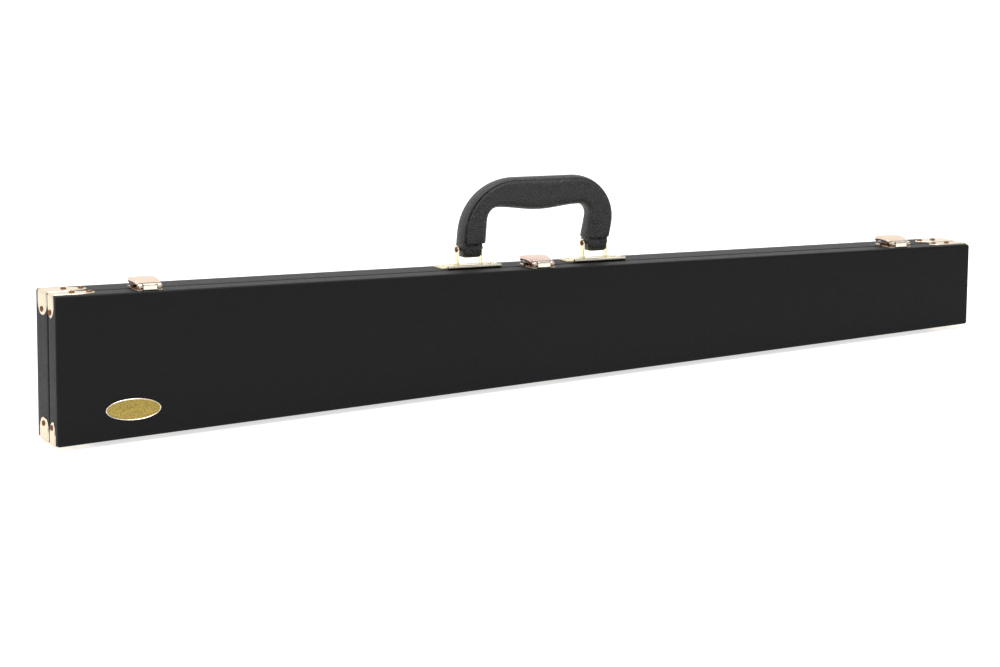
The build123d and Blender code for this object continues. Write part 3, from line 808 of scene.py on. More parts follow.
def make_caps(shell):
    """The four caps of one shell as thin stamped sheets, crowned and rolled at their edges."""
    metal = settings()[1]
    low, high = cap_bands()[shell]
    middle = (low + high) / 2
    half = (high - low) / 2
    roll = 0.85 * MM
    rounding = 1.1 * MM
    bm = bmesh.new()
    stations = [-metal.cap_short_leg + SEAT]
    steps = 64
    span = metal.cap_long_leg + metal.cap_short_leg
    stations += [-metal.cap_short_leg + span * k / steps for k in range(1, steps)]
    stations += [metal.cap_long_leg - SEAT]
    for end in ("frog", "tip"):
        for level in ("upper", "lower"):
            corner = cap_corner(end, level)
            rings = []
            for s in stations:
                leg = metal.cap_long_leg if s > 0 else metal.cap_short_leg
                width = max(arch_width(abs(s), leg, half), 0.06 * MM)
                from_edge = [0.0, 0.1, 0.35, 0.65, 1.0]
                offsets = [width - min(roll * e, width * 0.9 * e) for e in from_edge]
                inner = [offsets[-1] * k / 4 for k in range(4)]
                right = inner[1:] + offsets[::-1]
                ys = [-v for v in right[::-1]] + [0.0] + right
                top = []
                for v in ys:
                    edge = min((width - abs(v)) / roll, 1)
                    rise = math.sqrt(max(1 - (1 - edge) ** 2, 0))
                    crown = 0.18 * MM * (1 - (v / half) ** 2) * min(width / half, 1)
                    top.append((v, 0.04 * MM + (metal.cap_sheet - 0.04 * MM) * rise + crown * rise))
                points = [cap_surface(corner, s, middle + v, h, rounding) for v, h in top]
                points += [cap_surface(corner, s, middle + v, SEAT, rounding) for v in ys[::-1]]
                rings.append(points)
            loft(bm, rings)
    add_piece(
        bm, f"{shell}_stamped_caps", SHELL_BODIES[shell], "pale_brass",
        (f"{shell}_corner_caps",), sharp=50,
    )


def rivet_tree():
    """Geometry nodes that set a domed head on each point, facing out along its attribute."""
    tree = bpy.data.node_groups.new("domed_rivets", "GeometryNodeTree")
    face = tree.interface
    face.new_socket("Points", in_out="INPUT", socket_type="NodeSocketGeometry")
    face.new_socket("Head Radius", in_out="INPUT", socket_type="NodeSocketFloat")
    face.new_socket("Head Height", in_out="INPUT", socket_type="NodeSocketFloat")
    face.new_socket("Finish", in_out="INPUT", socket_type="NodeSocketMaterial")
    face.new_socket("Rivets", in_out="OUTPUT", socket_type="NodeSocketGeometry")
    given = add_node(tree, "NodeGroupInput").outputs
    ball = add_node(tree, "GeometryNodeMeshUVSphere", {"Segments": 24, "Rings": 14, "Radius": 1.0})
    where = add_node(tree, "GeometryNodeInputPosition").outputs[0]
    spot = add_node(tree, "ShaderNodeSeparateXYZ", {0: where}).outputs
    radius = given["Head Radius"]
    wide = [
        add_node(tree, "ShaderNodeMath", {0: spot[i], 1: radius}, operation="MULTIPLY").outputs[0]
        for i in (0, 1)
    ]
    raised = add_node(tree, "ShaderNodeMath", {0: spot[2], 1: 0.0}, operation="MAXIMUM")
    tall = add_node(
        tree,
        "ShaderNodeMath",
        {0: raised.outputs[0], 1: given["Head Height"]},
        operation="MULTIPLY",
    )
    shaped = add_node(tree, "ShaderNodeCombineXYZ", {0: wide[0], 1: wide[1], 2: tall.outputs[0]})
    dome = add_node(
        tree,
        "GeometryNodeSetPosition",
        {"Geometry": ball.outputs["Mesh"], "Position": shaped.outputs[0]},
    )
    out = add_node(
        tree, "GeometryNodeInputNamedAttribute", {"Name": "out"}, data_type="FLOAT_VECTOR"
    )
    aim = add_node(
        tree, "FunctionNodeAlignRotationToVector", {"Vector": out.outputs["Attribute"]}, axis="Z"
    )
    placed = add_node(
        tree,
        "GeometryNodeInstanceOnPoints",
        {
            "Points": given["Points"],
            "Instance": dome.outputs["Geometry"],
            "Rotation": aim.outputs["Rotation"],
        },
    )
    real = add_node(tree, "GeometryNodeRealizeInstances", {"Geometry": placed.outputs["Instances"]})
    smooth = add_node(tree, "GeometryNodeSetShadeSmooth", {"Geometry": real.outputs["Geometry"]})
    coated = add_node(
        tree,
        "GeometryNodeSetMaterial",
        {"Geometry": smooth.outputs["Geometry"], "Material": given["Finish"]},
    )
    add_node(tree, "NodeGroupOutput", {"Rivets": coated.outputs["Geometry"]})
    return tree


def make_rivets(name, body, spots, slot, replaced=(), grow=1.0):
    """Rivet heads at the given spots, each a place and an outward normal in the case frame."""
    metal = settings()[1]
    tree = bpy.data.node_groups.get("domed_rivets") or rivet_tree()
    mesh = bpy.data.meshes.new(f"{name}_points")
    mesh.from_pydata([CASE @ place for place, _ in spots], [], [])
    out = mesh.attributes.new("out", "FLOAT_VECTOR", "POINT")
    for item, (_, normal) in zip(out.data, spots):
        item.vector = CASE.to_3x3() @ normal
    holder = bpy.data.objects.new(f"{name}_points", mesh)
    bpy.context.scene.collection.objects.link(holder)
    modifier = holder.modifiers.new("rivets", "NODES")
    modifier.node_group = tree
    values = {
        "Head Radius": metal.rivet_head * grow,
        "Head Height": metal.rivet_rise * grow,
        "Finish": finish_materials()[slot],
    }
    for item in tree.interface.items_tree:
        if item.in_out == "INPUT" and item.name in values:
            modifier[item.identifier] = values[item.name]
    evaluated = holder.evaluated_get(bpy.context.evaluated_depsgraph_get())
    result = bpy.data.meshes.new_from_object(evaluated)
    bpy.data.objects.remove(holder)
    bm = bmesh.new()
    bm.from_mesh(result)
    bmesh.ops.remove_doubles(bm, verts=bm.verts, dist=WELD)
    bmesh.ops.dissolve_degenerate(bm, edges=bm.edges, dist=0.001 * MM)
    bm.to_mesh(result)
    bm.free()
    result.shade_smooth()
    show_piece(name, result, body, slot, replaced)


def cap_rivet_spots(shell):
    """Rivets of one shell's caps: two on each long leg, one on each short leg."""
    shells, metal, _ = settings()
    low, high = cap_bands()[shell]
    middle = (low + high) / 2
    far = metal.cap_long_leg - metal.cap_tip_rivet
    spots = []
    for end in ("frog", "tip"):
        for level in ("upper", "lower"):
            corner = cap_corner(end, level)
            for s in (far, far - metal.cap_rivet_pitch, metal.cap_tip_rivet - metal.cap_short_leg):
                height = metal.cap_sheet + 0.1 * MM
                place = cap_surface(corner, s, middle, height, shells.corner_rounding)
                spots.append((place, corner[3] if s > 0 else corner[4]))
    return spots


# Badge


def make_badge():
    """The oval badge: a rounded bright rim round a grained bare field."""
    centre_x = 58 * MM
    above_bottom = 21.8 * MM
    centre_z = centre_x * math.tan(CASE_SLANT) + above_bottom
    long_half, short_half = 21.5 * MM, 8.3 * MM
    sides = 96

    def ring(inset, y):
        return [
            Vector(
                (
                    centre_x + (long_half - inset) * math.cos(2 * math.pi * i / sides),
                    y,
                    centre_z + (short_half - inset) * math.sin(2 * math.pi * i / sides),
                )
            )
            for i in range(sides)
        ]

    rim = 1.05 * MM
    profile = [(0.0, -0.02), (0.0, -0.9)]
    for k in range(1, 5):
        angle = math.pi * k / 4
        rise = 0.9 + 0.6 * math.sin(angle)
        profile.append((rim / MM * (1 - math.cos(angle)) / 2, -rise))
    bm = bmesh.new()
    inner = rim + 0.1 * MM
    inner_top = -0.55 * MM
    outside = [ring(inset * MM, y * MM) for inset, y in profile]
    loft(bm, outside + [ring(inner, inner_top)], caps=False)
    loft(bm, [ring(inner, inner_top), ring(inner, -SEAT), ring(0, -SEAT)], caps=False)
    add_piece(
        bm, "badge_rim", "lid", "pale_brass", sharp=50
    )
    field = bmesh.new()
    rings = [ring(rim + 0.05 * MM, -0.05 * MM), ring(rim + 0.05 * MM, -0.75 * MM)]
    for k in range(1, 8):
        part = k / 8
        shrink = (short_half - rim) * part
        rings.append(ring(rim + shrink, (-0.75 - 0.3 * math.sin(part * math.pi / 2)) * MM))
    loft(field, rings)
    add_piece(
        field, "badge_field", "lid", "badge_brass", ("badge",), sharp=50
    )


# Latches

# Corners and softened edges of the plates that are cut from sheet.
PLATE_CORNER = 0.6 * MM
PLATE_BEVEL = 0.15 * MM


def sheet_ring(centre_x, half_width, point, normal, thickness, roll, crown):
    """A cross-section of a strip: flat, with rolled long edges and a slight crown."""
    across = Vector((1, 0, 0))
    steps = 4
    outline = []
    flat = 8
    for k in range(flat + 1):
        u = -1 + 2 * k / flat
        outline.append((u * (half_width - roll), thickness / 2))
    for k in range(1, steps + 1):
        angle = math.pi / 2 - math.pi * k / (steps + 1)
        side = half_width - roll + roll * math.cos(angle)
        outline.append((side, thickness / 2 * math.sin(angle)))
    for k in range(flat + 1):
        u = 1 - 2 * k / flat
        outline.append((u * (half_width - roll), -thickness / 2))
    for k in range(1, steps + 1):
        angle = -math.pi / 2 - math.pi * k / (steps + 1)
        side = -(half_width - roll) + roll * math.cos(angle)
        outline.append((side, thickness / 2 * math.sin(angle)))
    result = []
    for x, h in outline:
        lift = crown * (1 - (x / half_width) ** 2)
        result.append(Vector((centre_x, 0, 0)) + across * x + point + normal * (h + lift))
    return result


def make_lever(name, centre, slot):
    """A latch flap: crowned, with a flat-fronted tongue round the pin.

    It is closed and flat underneath, where the real one is pressed from sheet and hollow.
    """
    metal = settings()[1]
    half = metal.latch_width / 2
    middle = metal.latch_middle / 2
    sheet = metal.flap_sheet
    axis = LATCH_AXIS
    level = axis.z + metal.knuckle - sheet / 2
    front = axis.y + metal.knuckle + 0.6 * MM
    rear = metal.latch_rear
    up = Vector((0, 0, 1))
    rings = []
    thin, strip_roll = 0.6 * MM, 0.12 * MM
    roll, crown = 0.5 * MM, 0.45 * MM

    def crowned(y, low, high, width):
        place = Vector((0, y, (low + high) / 2))
        rings.append(sheet_ring(centre, width, place, up, high - low, roll, crown))

    def bent(y, z, normal=up):
        place = Vector((0, y, z))
        rings.append(sheet_ring(centre, middle, place, normal, thin, strip_roll, 0.0))

    rounding = 4 * MM
    tail = half * 0.8
    bottom = level - sheet / 2
    lip = bottom - 1.5 * MM
    end_height = bottom + 2.3 * MM
    crowned(rear, lip + 0.3 * MM, end_height - 0.7 * MM, tail - 0.4 * MM)
    crowned(rear - 0.3 * MM, lip, end_height - 0.2 * MM, tail)
    crowned(rear - sheet, lip, end_height, tail + 0.1 * MM)
    for k in range(15):
        part = k / 14
        y = rear - sheet - 0.05 * MM + (front - rear + sheet) * part
        into = max(1 - (rear - y) / rounding, 0)
        width = half - (half - tail) * (1 - math.sqrt(1 - into**2))
        rise = metal.flap_crown * math.sin(math.pi * (0.2 + 0.78 * part))
        crowned(y, bottom + 0.1 * MM * (1 - part), bottom + sheet + rise, width)
    top = bottom + sheet - thin / 2
    bent(front - 0.1 * MM, top)
    flat = axis.y - metal.knuckle + thin / 2
    corner = 0.34 * MM
    bent(flat + corner, top)
    for k in range(1, 4):
        angle = math.pi / 2 + math.pi / 2 * k / 3
        normal = Vector((0, math.cos(angle), math.sin(angle)))
        bent(flat + corner + corner * normal.y, top - corner + corner * normal.z, normal)
    low = axis.z - 2.15 * MM
    for part in (0.35, 0.7, 1.0):
        bent(flat, top - corner + (low - top + corner) * part, Vector((0, -1, 0)))
    bm = bmesh.new()
    loft(bm, rings)
    add_piece(
        bm, f"latch_{name}_flap", f"lever_{name}", slot, (f"latch_{name}_lever",)
    )


def make_latch_plate(name, centre, slot):
    """The lid's half of a latch: a plate cut out under the tongue, with a knuckle at each side."""
    metal = settings()[1]
    half = metal.latch_width / 2
    inner = metal.latch_middle / 2 + 0.3 * MM
    plate_top = TOP + metal.latch_sheet
    low = TOP + SEAT
    axis = LATCH_AXIS
    behind = axis.y + metal.knuckle
    bm = bmesh.new()
    plate = (behind, 19.0 * MM)
    slab(bm, (centre - half, centre + half), plate, (low, plate_top), PLATE_CORNER, PLATE_BEVEL)
    for side in (-1, 1):
        wing = sorted((centre + side * half, centre + side * inner))
        reach = (metal.latch_front, behind + 0.5 * MM)
        slab(bm, wing, reach, (low, plate_top), 1.4 * MM, PLATE_BEVEL)
        span = sorted((centre + side * (half - 0.5 * MM), centre + side * inner))
        rod(bm, span, axis.y, axis.z, metal.knuckle, 0.35 * MM)
        web = (span[0] + 0.1 * MM, span[1] - 0.1 * MM)
        web_depth = (axis.y - 0.4 * MM, axis.y + 1.9 * MM)
        slab(bm, web, web_depth, (plate_top - 0.2 * MM, axis.z), 0.2 * MM, 0.1 * MM)
    # Faces between these shaded heights, including the webs under the knuckles, take painted shade.
    add_piece(
        bm, f"latch_{name}_base", "lid", slot, (f"latch_{name}_plate",),
        shaded=(plate_top + 0.1 * MM, axis.z - 0.1 * MM),
    )


def make_catch(name, centre, slot):
    """The back shell's half of a latch: a plate with a pressed ridge."""
    metal = settings()[1]
    half = metal.latch_width / 2
    middle = metal.latch_middle / 2
    plate_top = TOP + metal.latch_sheet
    span = (metal.strike_front, metal.strike_rear)
    ridge = (metal.strike_rear - 3.9 * MM, metal.strike_rear - 1.9 * MM)
    bm = bmesh.new()
    levels = (TOP + SEAT, plate_top)
    slab(bm, (centre - half, centre + half), span, levels, PLATE_CORNER, PLATE_BEVEL)
    levels = (plate_top - 0.2 * MM, plate_top + 1.15 * MM)
    slab(bm, (centre - middle, centre + middle), ridge, levels, 0.9 * MM, 0.6 * MM)
    for side in (-1, 1):
        edge = sorted((centre + side * half, centre + side * (half - 0.7 * MM)))
        reach = (span[0] + 0.3 * MM, span[1] - 1.5 * MM)
        slab(bm, edge, reach, (TOP + 0.3 * MM, TOP + 1.8 * MM), 0.3 * MM, 0.1 * MM)
    add_piece(bm, f"latch_{name}_strike", "case", slot, (f"latch_{name}_catch",))


# Handle

GRIP_SIDES = 120


def curled_bead(bm, x_range, y, z, radius):
    """A sheet edge rolled into a tube, open at both ends."""
    start, end = x_range
    bore = radius * 0.62
    depth = 2.5 * MM
    chamfer, edge = 0.1 * MM, 0.15 * MM
    near = [(depth, bore), (chamfer, bore), (0, bore + chamfer), (0, radius - edge), (edge, radius)]
    profile = [(start + x, r) for x, r in near] + [(end - x, r) for x, r in near[::-1]]
    lathe(bm, profile, y, z, 24)


def make_post(bm, x, depth, width, foot, pivot):
    """A flat post with a round top, in a small collar."""
    rings = []
    for inset, offset in ((0.25, -0.6), (0.0, -0.35), (0.0, 0.35), (0.25, 0.6)):
        half = width / 2 - inset * MM
        place = x + offset * MM
        outline = [Vector((place, depth + half, foot - 0.3 * MM))]
        for k in range(17):
            angle = math.pi * k / 16
            y, z = depth + half * math.cos(angle), pivot + half * math.sin(angle)
            outline.append(Vector((place, y, z)))
        outline.append(Vector((place, depth - half, foot - 0.3 * MM)))
        rings.append(outline)
    loft(bm, rings)
    wide, long = 1.7 * MM, width / 2 + 0.7 * MM
    collar = (foot - 0.2 * MM, foot + 0.75 * MM)
    slab(bm, (x - wide, x + wide), (depth - long, depth + long), collar, 1.6 * MM, 0.5 * MM)


def make_handle_plate(name, centre):
    """A handle plate: a flat whose front edge is rolled into a bead, and two upright posts."""
    handle = settings()[2]
    half = handle.plate_length / 2
    depth = handle.depth_place
    front = depth - handle.plate_width / 2
    rear = depth + handle.plate_width / 2
    plate_top = TOP + handle.plate_sheet
    low = TOP + SEAT
    bead = 1.45 * MM
    groove = front + 2 * bead + 0.9 * MM
    bm = bmesh.new()
    slab(bm, (centre - half, centre + half), (groove, rear), (low, plate_top), 4.6 * MM, 0.25 * MM)
    inset = 4.5 * MM
    web = (front + bead, groove + 2 * MM)
    span = (centre - half + inset, centre + half - inset)
    slab(bm, span, web, (low, TOP + 0.35 * MM), 0.3 * MM, 0.1 * MM)
    bead_inset, bead_level = 3.5 * MM, TOP + 1.5 * MM
    span = (centre - half + bead_inset, centre + half - bead_inset)
    curled_bead(bm, span, front + bead, bead_level, bead)
    for side in (-1, 1):
        x = centre + side * handle.post_spacing / 2
        make_post(bm, x, depth, handle.post_width, plate_top, TOP + handle.pivot_height)
    # Faces between these shaded heights, including the web under the bead, take painted shade.
    add_piece(
        bm, f"handle_{name}_mount", "case", "yellow_brass", (f"handle_{name}_plate",),
        shaded=(TOP + 0.2 * MM, TOP + 0.5 * MM),
    )


def bent_path(feet, slopes, foot, top, bends):
    """A line up one leg, round a shoulder, along the bar, round the other and down again."""
    leg_steps, bend_steps, bar_steps = 10, 18, 26
    low = [Vector((x, foot)) for x in feet]
    high = [Vector((x + slope * (top - foot), top)) for x, slope in zip(feet, slopes)]
    left = corner_arc(low[0], high[0], high[1], bends[0], bend_steps)
    right = corner_arc(high[0], high[1], low[1], bends[1], bend_steps)
    path = [low[0].lerp(left[0], k / leg_steps) for k in range(leg_steps)] + left
    path += [left[-1].lerp(right[0], k / bar_steps) for k in range(1, bar_steps)] + right
    path += [right[-1].lerp(low[1], k / leg_steps) for k in range(1, leg_steps + 1)]
    start = leg_steps + bend_steps
    return path, start, start + bar_steps


def handle_stations():
    """Outer and inner points of the grip, station by station, from foot to foot."""
    handle = settings()[2]
    pivot = TOP + handle.pivot_height
    foot = pivot + handle.grip_foot
    top = pivot + handle.grip_rise
    slopes = (handle.frog_slope, handle.tip_slope)
    half, leg = handle.grip_spacing / 2, handle.leg_width / 2
    outer_feet = (handle.grip_middle - half - leg, handle.grip_middle + half + leg)
    inner_feet = (handle.grip_middle - half + leg, handle.grip_middle + half - leg)
    bends = (handle.frog_bend, handle.tip_bend)
    outer, start, end = bent_path(outer_feet, slopes, foot, top, bends)
    small = (handle.inner_bend, handle.inner_bend)
    inner, _, _ = bent_path(inner_feet, slopes, foot, top - handle.bar, small)
    for k in range(start, end + 1):
        part = (k - start) / (end - start)
        inner[k] = inner[k] - Vector((0, handle.belly * math.sin(math.pi * part) ** 2))
    return list(zip(outer, inner))


def grip_section(handle, outer, inner, seam):
    """One section of the grip: a rounded square, tucked in at its outer corners."""
    middle = (outer + inner) / 2
    arm = (outer - inner) / 2
    depth = handle.grip_depth / 2
    power = 2.6
    tuck_angle, tuck_width = 43, 4.2
    points = []
    for i in range(GRIP_SIDES):
        angle = 2 * math.pi * i / GRIP_SIDES
        c, s = math.cos(angle), math.sin(angle)
        u = math.copysign(abs(c) ** (2 / power), c)
        v = math.copysign(abs(s) ** (2 / power), s)
        offset = abs((math.degrees(angle) + 180) % 360 - 180)
        tuck = -1.05 * MM * seam * math.exp(-(((offset - tuck_angle) / tuck_width) ** 2))
        fold = 0.55 * MM * math.exp(-(((offset - 56) / 7) ** 2))
        fold += 0.3 * MM * math.exp(-(((offset - 33) / 5) ** 2))
        size = 1 + (tuck + fold * seam) / arm.length
        flat = middle + arm * (u * size)
        points.append(Vector((flat.x, handle.depth_place + v * depth * size, flat.y)))
    return points


def make_grip():
    """The padded grip, swept from foot to foot, with its turned-in ends."""
    handle = settings()[2]
    stations = handle_stations()
    last_station = len(stations) - 1
    rings = [
        grip_section(handle, outer, inner, 1 - 0.65 * math.sin(math.pi * k / last_station) ** 2)
        for k, (outer, inner) in enumerate(stations)
    ]

    def shrunk(ring, share, drop):
        centre = sum(ring, Vector()) / len(ring)
        return [centre.lerp(point, share) + Vector((0, 0, drop)) for point in ring]

    turned_in = ((0.80, 0.5 * MM), (0.84, -0.25 * MM), (0.94, -0.4 * MM))
    start = [shrunk(rings[0], share, drop) for share, drop in turned_in]
    end = [shrunk(rings[-1], share, drop) for share, drop in turned_in[::-1]]
    bm = bmesh.new()
    loft(bm, start + rings + end)
    grip = add_piece(bm, "padded_grip", "handle", "grip_leather", ("handle_grip",), sharp=60)
    return grip


def make_tongues():
    """The core's two tongues, which come out of the grip and turn on the pins."""
    handle = settings()[2]
    pivot = TOP + handle.pivot_height
    to_left, to_right, half_y = 8.4 * MM, 9 * MM, 7.6 * MM
    low = pivot - 6.3 * MM
    levels = (
        (2.9, 0.0), (1.9, 0.3), (1.25, 0.9), (0.9, 1.9), (0.0, 8.0), (0.0, 11.0), (2.6, 13.5)
    )
    bm = bmesh.new()
    for side in (-1, 1):
        x = handle.plates_middle + side * handle.plate_spacing / 2
        rings = []
        for inset, rise in levels:
            edge = inset * MM
            left, right = x - to_left + edge, x + to_right - edge
            near, far = handle.depth_place - half_y + edge, handle.depth_place + half_y - edge
            rings.append(rectangle(left, right, near, far, low + rise * MM, 2.2 * MM))
        loft(bm, rings)
    add_piece(
        bm, "core_tongues", "handle", "handle_core_plastic",
        ("handle_core",), sharp=50,
    )


def make_handle_pin(name, centre):
    """A pin through two posts, with its domed heads."""
    handle = settings()[2]
    pivot = TOP + handle.pivot_height
    reach = handle.post_spacing / 2 + 0.7 * MM
    bm = bmesh.new()
    span = (centre - reach, centre + reach)
    rod(bm, span, handle.depth_place, pivot, 1.25 * MM, 0.1 * MM, sides=20)
    add_piece(
        bm, f"handle_{name}_shaft", "case", "copper_rivets", (f"handle_{name}_pin",)
    )
    heads = []
    for side in (-1, 1):
        place = Vector((centre + side * (reach - 0.1 * MM), handle.depth_place, pivot))
        heads.append((place, Vector((side, 0, 0))))
    make_rivets(f"handle_{name}_heads", "case", heads, "copper_rivets")


# Fittings inside


def make_padded_block(name):
    """A foam block covered in velvet: a crowned form that keeps the block's own outline."""
    node = frame["nodes"][name]
    bm = bmesh.new()
    bm.from_mesh(node.data)
    bmesh.ops.remove_doubles(bm, verts=bm.verts, dist=0.01 * MM)
    bmesh.ops.dissolve_limit(bm, angle_limit=math.radians(2), verts=bm.verts, edges=bm.edges)
    edges = [e for e in bm.edges if e.calc_face_angle(0) > math.radians(20)]
    rounding = 2.2 * MM
    bmesh.ops.bevel(
        bm, geom=edges, offset=rounding, segments=4, profile=0.5, affect="EDGES", clamp_overlap=True
    )
    piece = add_piece(
        bm, f"{name}_pad", "case", "velvet_padding", (name,),
        sharp=60, matrix=Matrix.Identity(4),
    )
    return piece


# Operators


class BOWCASE_OT_shells(bpy.types.Operator):
    """Make the leathercloth skins and the velvet linings"""

    bl_idname = "bow_case.shells"
    bl_label = "Shells"

    def execute(self, context):
        for shell in ("lid", "back"):
            make_cover(shell)
            make_lining(shell)
        return {"FINISHED"}


class BOWCASE_OT_caps(bpy.types.Operator):
    """Make the corner caps and their rivets"""

    bl_idname = "bow_case.caps"
    bl_label = "Corner caps"

    def execute(self, context):
        for shell, body in SHELL_BODIES.items():
            make_caps(shell)
            make_rivets(
                f"{shell}_cap_rivet_heads", body, cap_rivet_spots(shell), "copper_rivets",
                (f"{shell}_corner_rivets",),
            )
        return {"FINISHED"}


class BOWCASE_OT_badge(bpy.types.Operator):
    """Make the bare oval badge"""

    bl_idname = "bow_case.badge"
    bl_label = "Badge"

    def execute(self, context):
        make_badge()
        return {"FINISHED"}


class BOWCASE_OT_latches(bpy.types.Operator):
    """Make the three latches and their rivets"""

    bl_idname = "bow_case.latches"
    bl_label = "Latches"

    def execute(self, context):
        metal = settings()[1]
        level = TOP + metal.latch_sheet
        up = Vector((0, 0, 1))
        rows = {"lid": metal.latch_rivet_front, "back": metal.latch_rivet_rear}
        for name, centre in LATCHES.items():
            slot = "rose_gilt" if name == "middle" else "pale_gilt"
            make_lever(name, centre, slot)
            make_latch_plate(name, centre, slot)
            make_catch(name, centre, slot)
        for shell, y in rows.items():
            spots = [
                (Vector((centre + side * metal.latch_rivet_reach, y, level)), up)
                for centre in LATCHES.values()
                for side in (-1, 1)
            ]
            make_rivets(
                f"{shell}_latch_rivet_heads", SHELL_BODIES[shell], spots, "copper_rivets",
                (f"{shell}_latch_rivets",),
            )
        return {"FINISHED"}


class BOWCASE_OT_handle(bpy.types.Operator):
    """Make the handle, its plates, pins and rivets"""

    bl_idname = "bow_case.handle"
    bl_label = "Handle"

    def execute(self, context):
        handle = settings()[2]
        make_grip()
        make_tongues()
        along = handle.plate_length / 2 - handle.plate_rivet_inset
        across = handle.plate_rivet_spread / 2
        spots = []
        for name, side in (("frog", -1), ("tip", 1)):
            centre = handle.plates_middle + side * handle.plate_spacing / 2
            make_handle_plate(name, centre)
            make_handle_pin(name, centre)
            for i, j in ((-1, -1), (-1, 1), (1, -1), (1, 1)):
                x, y = centre + i * along, handle.depth_place + j * across
                spots.append((Vector((x, y, TOP + handle.plate_sheet)), Vector((0, 0, 1))))
        make_rivets(
            "handle_plate_rivet_heads", "case", spots, "yellow_brass", ("back_handle_rivets",), 0.75
        )
        return {"FINISHED"}


class BOWCASE_OT_inside(bpy.types.Operator):
    """Make the padded fittings and finish the frame's own parts"""

    bl_idname = "bow_case.inside"
    bl_label = "Inside"

    def execute(self, context):
        finishes = finish_materials()
        for name in ("frog_block_upper", "frog_block_lower", "stick_rest", "tip_rest"):
            make_padded_block(name)
        slots = {part["node"]: part["material_slot"] for part in frame["record"]["subparts"]}
        for name, node in frame["nodes"].items():
            # The hinge leaves take the darker hinge brass, painted shade under the case.
            finish = "hinge_brass" if name.endswith("hinge_leaves") else slots[name]
            for slot in node.material_slots:
                slot.material = finishes[finish]
        return {"FINISHED"}


class BOWCASE_OT_stage(bpy.types.Operator):
    """Set up the pale floor, the studio light and the camera"""

    bl_idname = "bow_case.stage"
    bl_label = "Stage"

    def execute(self, context):
        make_floor()
        make_world()
        make_lamps()
        make_camera()
        return {"FINISHED"}


# Studio


def make_floor():
    """A wide pale floor that shows nearly white and keeps a soft shadow."""
    bm = bmesh.new()
    reach = 12.0
    signs = ((-1, -1), (1, -1), (1, 1), (-1, 1))
    bm.faces.new([bm.verts.new(Vector((i * reach, j * reach, 0))) for i, j in signs])
    mesh = bpy.data.meshes.new("studio_floor")
    bm.to_mesh(mesh)
    bm.free()
    floor = bpy.data.objects.new("studio_floor", mesh)
    bpy.context.scene.collection.objects.link(floor)
    material, tree, shader, _ = new_material(
        "paper_floor", **{"Roughness": 0.9, "Specular IOR Level": 0.0}
    )
    shader.inputs["Base Color"].default_value = (0.85, 0.85, 0.85, 1)
    rays = add_node(tree, "ShaderNodeLightPath").outputs
    mirrored = add_node(
        tree,
        "ShaderNodeMath",
        {0: rays["Is Glossy Ray"], 1: rays["Is Transmission Ray"]},
        operation="MAXIMUM",
    )
    glow = add_node(tree, "ShaderNodeMath", {0: mirrored.outputs[0], 1: 0.4}, operation="MULTIPLY")
    lift = add_node(
        tree,
        "ShaderNodeMapRange",
        {"Value": rays["Is Camera Ray"], "To Min": glow.outputs[0], "To Max": 0.68},
    )
    shader.inputs["Emission Color"].default_value = (1, 1, 1, 1)
    tree.links.new(lift.outputs[0], shader.inputs["Emission Strength"])
    mesh.materials.append(material)


def make_world():
    """A grey studio with a white backdrop behind and above, and a dark room in front.

    The direction comes from the world's own coordinates: -Y is where the camera stands.
    """
    world = bpy.data.worlds.new("studio")
    bpy.context.scene.world = world
    world.use_nodes = True
    tree = world.node_tree
    tree.nodes.clear()
    rays = add_node(tree, "ShaderNodeLightPath").outputs
    way = add_node(tree, "ShaderNodeTexCoord").outputs["Generated"]
    way = add_node(tree, "ShaderNodeSeparateXYZ", {"Vector": way}).outputs
    behind = add_node(
        tree, "ShaderNodeMapRange", {"Value": way["Y"], "From Min": -0.3, "From Max": 0.3}
    )
    above = add_node(
        tree, "ShaderNodeMapRange", {"Value": way["Z"], "From Min": 0.55, "From Max": 0.85}
    )
    backdrop = add_node(
        tree, "ShaderNodeMath", {0: behind.outputs[0], 1: above.outputs[0]}, operation="MAXIMUM"
    )
    room = add_node(
        tree, "ShaderNodeMapRange", {"Value": backdrop.outputs[0], "To Min": 0.3, "To Max": 1.0}
    )
    mirrored = add_node(
        tree,
        "ShaderNodeMath",
        {0: rays["Is Glossy Ray"], 1: rays["Is Transmission Ray"]},
        operation="MAXIMUM",
    )
    indirect = add_node(
        tree,
        "ShaderNodeMapRange",
        {"Value": mirrored.outputs[0], "To Min": 0.5, "To Max": room.outputs[0]},
    )
    strength = add_node(
        tree,
        "ShaderNodeMapRange",
        {"Value": rays["Is Camera Ray"], "To Min": indirect.outputs[0], "To Max": 1.0},
    )
    light = add_node(
        tree,
        "ShaderNodeBackground",
        {"Color": (1, 1, 1, 1), "Strength": strength.outputs["Result"]},
    )
    add_node(tree, "ShaderNodeOutputWorld", {"Surface": light.outputs["Background"]})


def make_lamp(name, place, aim, size, power):
    """A square soft lamp that faces a point."""
    data = bpy.data.lights.new(name, "AREA")
    data.shape = "SQUARE"
    data.size = size
    data.energy = power
    lamp = bpy.data.objects.new(name, data)
    lamp.location = place
    lamp.rotation_euler = (Vector(aim) - Vector(place)).to_track_quat("-Z", "Y").to_euler()
    bpy.context.scene.collection.objects.link(lamp)


def make_lamps():
    """A large soft lamp above, a weaker one from the left and one high in front."""
    make_lamp("overhead_softbox", (-0.2, 0.3, 1.9), (0, 0, 0.05), 1.6, 14)
    make_lamp("left_softbox", (-1.9, -0.6, 1.0), (0, 0, 0.05), 1.0, 5)
    make_lamp("front_softbox", (0.1, -1.1, 1.5), (0, 0, 0.12), 0.7, 6.5)


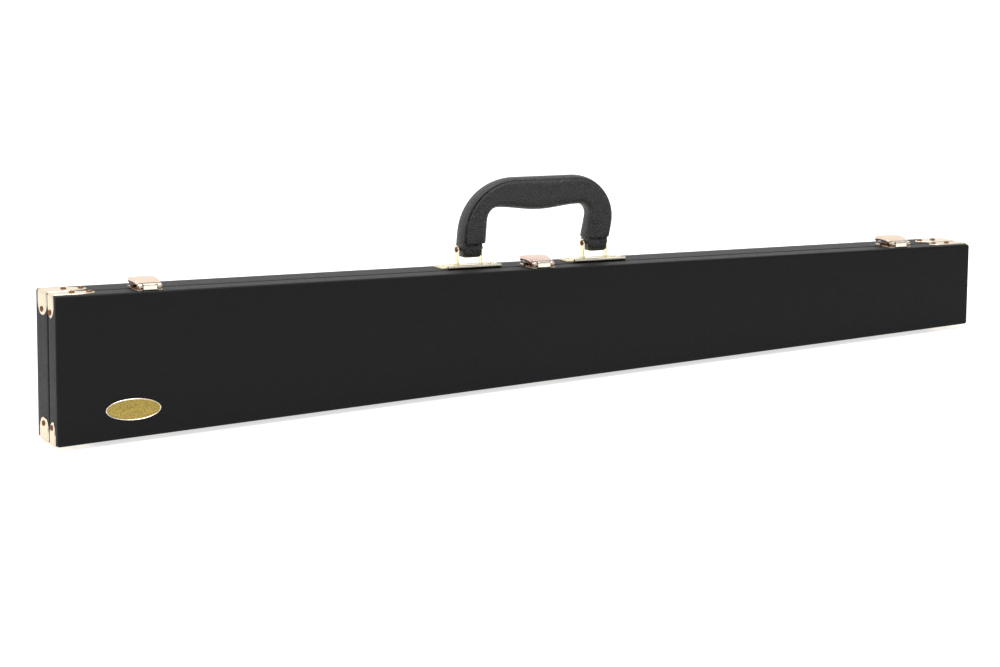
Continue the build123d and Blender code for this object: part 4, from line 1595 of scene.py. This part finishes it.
def make_camera():
    """The camera of the photograph, found from the case's edges."""
    data = bpy.data.cameras.new("studio_camera")
    focal_pixels = 2814.893
    frame_width_pixels = 1000
    data.sensor_width = 36.0
    data.lens = data.sensor_width * focal_pixels / frame_width_pixels
    data.clip_end = 100
    yaw, pitch, roll = (math.radians(a) for a in (25.833408, 9.064767, 0.477598))
    level = math.cos(pitch)
    ahead = Vector((math.sin(yaw) * level, math.cos(yaw) * level, -math.sin(pitch)))
    right = Vector((math.cos(yaw), -math.sin(yaw), 0))
    up = right.cross(ahead)
    right_rolled = right * math.cos(roll) + up * math.sin(roll)
    up_rolled = -right * math.sin(roll) + up * math.cos(roll)
    turn = Matrix((right_rolled, up_rolled, -ahead)).transposed().to_4x4()
    place = Vector((-589.4315 * MM, -1957.8304 * MM, 409.9192 * MM))
    camera = bpy.data.objects.new("studio_camera", data)
    camera.matrix_world = CASE @ Matrix.Translation(place) @ turn
    bpy.context.scene.collection.objects.link(camera)
    bpy.context.scene.camera = camera


OPERATORS = (
    BOWCASE_OT_stage,
    BOWCASE_OT_shells,
    BOWCASE_OT_caps,
    BOWCASE_OT_badge,
    BOWCASE_OT_latches,
    BOWCASE_OT_handle,
    BOWCASE_OT_inside,
)


class BOWCASE_PT_panel(bpy.types.Panel):
    """Lists the steps that dress the bow case"""

    bl_idname = "BOWCASE_PT_panel"
    bl_label = "Bow case"
    bl_space_type = "VIEW_3D"
    bl_region_type = "UI"
    bl_category = "Bow case"

    def draw(self, context):
        for operator in OPERATORS:
            self.layout.operator(operator.bl_idname)


GROUPS = {
    "bow_case_shells": BowCaseShellSettings,
    "bow_case_metal": BowCaseMetalSettings,
    "bow_case_handle": BowCaseHandleSettings,
}


def register():
    """Register the classes and hang the settings on the scene."""
    for group in GROUPS.values():
        bpy.utils.register_class(group)
    for operator in OPERATORS:
        bpy.utils.register_class(operator)
    bpy.utils.register_class(BOWCASE_PT_panel)
    for name, group in GROUPS.items():
        setattr(bpy.types.Scene, name, bpy.props.PointerProperty(type=group))


def unregister():
    """Undo what register did."""
    for name in GROUPS:
        delattr(bpy.types.Scene, name)
    bpy.utils.unregister_class(BOWCASE_PT_panel)
    for operator in reversed(OPERATORS):
        bpy.utils.unregister_class(operator)
    for group in GROUPS.values():
        bpy.utils.unregister_class(group)


def main():
    """Dress the frame, piece by piece."""
    register()
    bpy.context.scene.view_settings.view_transform = "Standard"
    for operator in OPERATORS:
        group, name = operator.bl_idname.split(".")
        getattr(getattr(bpy.ops, group), name)()


if __name__ == "__main__":
    main()
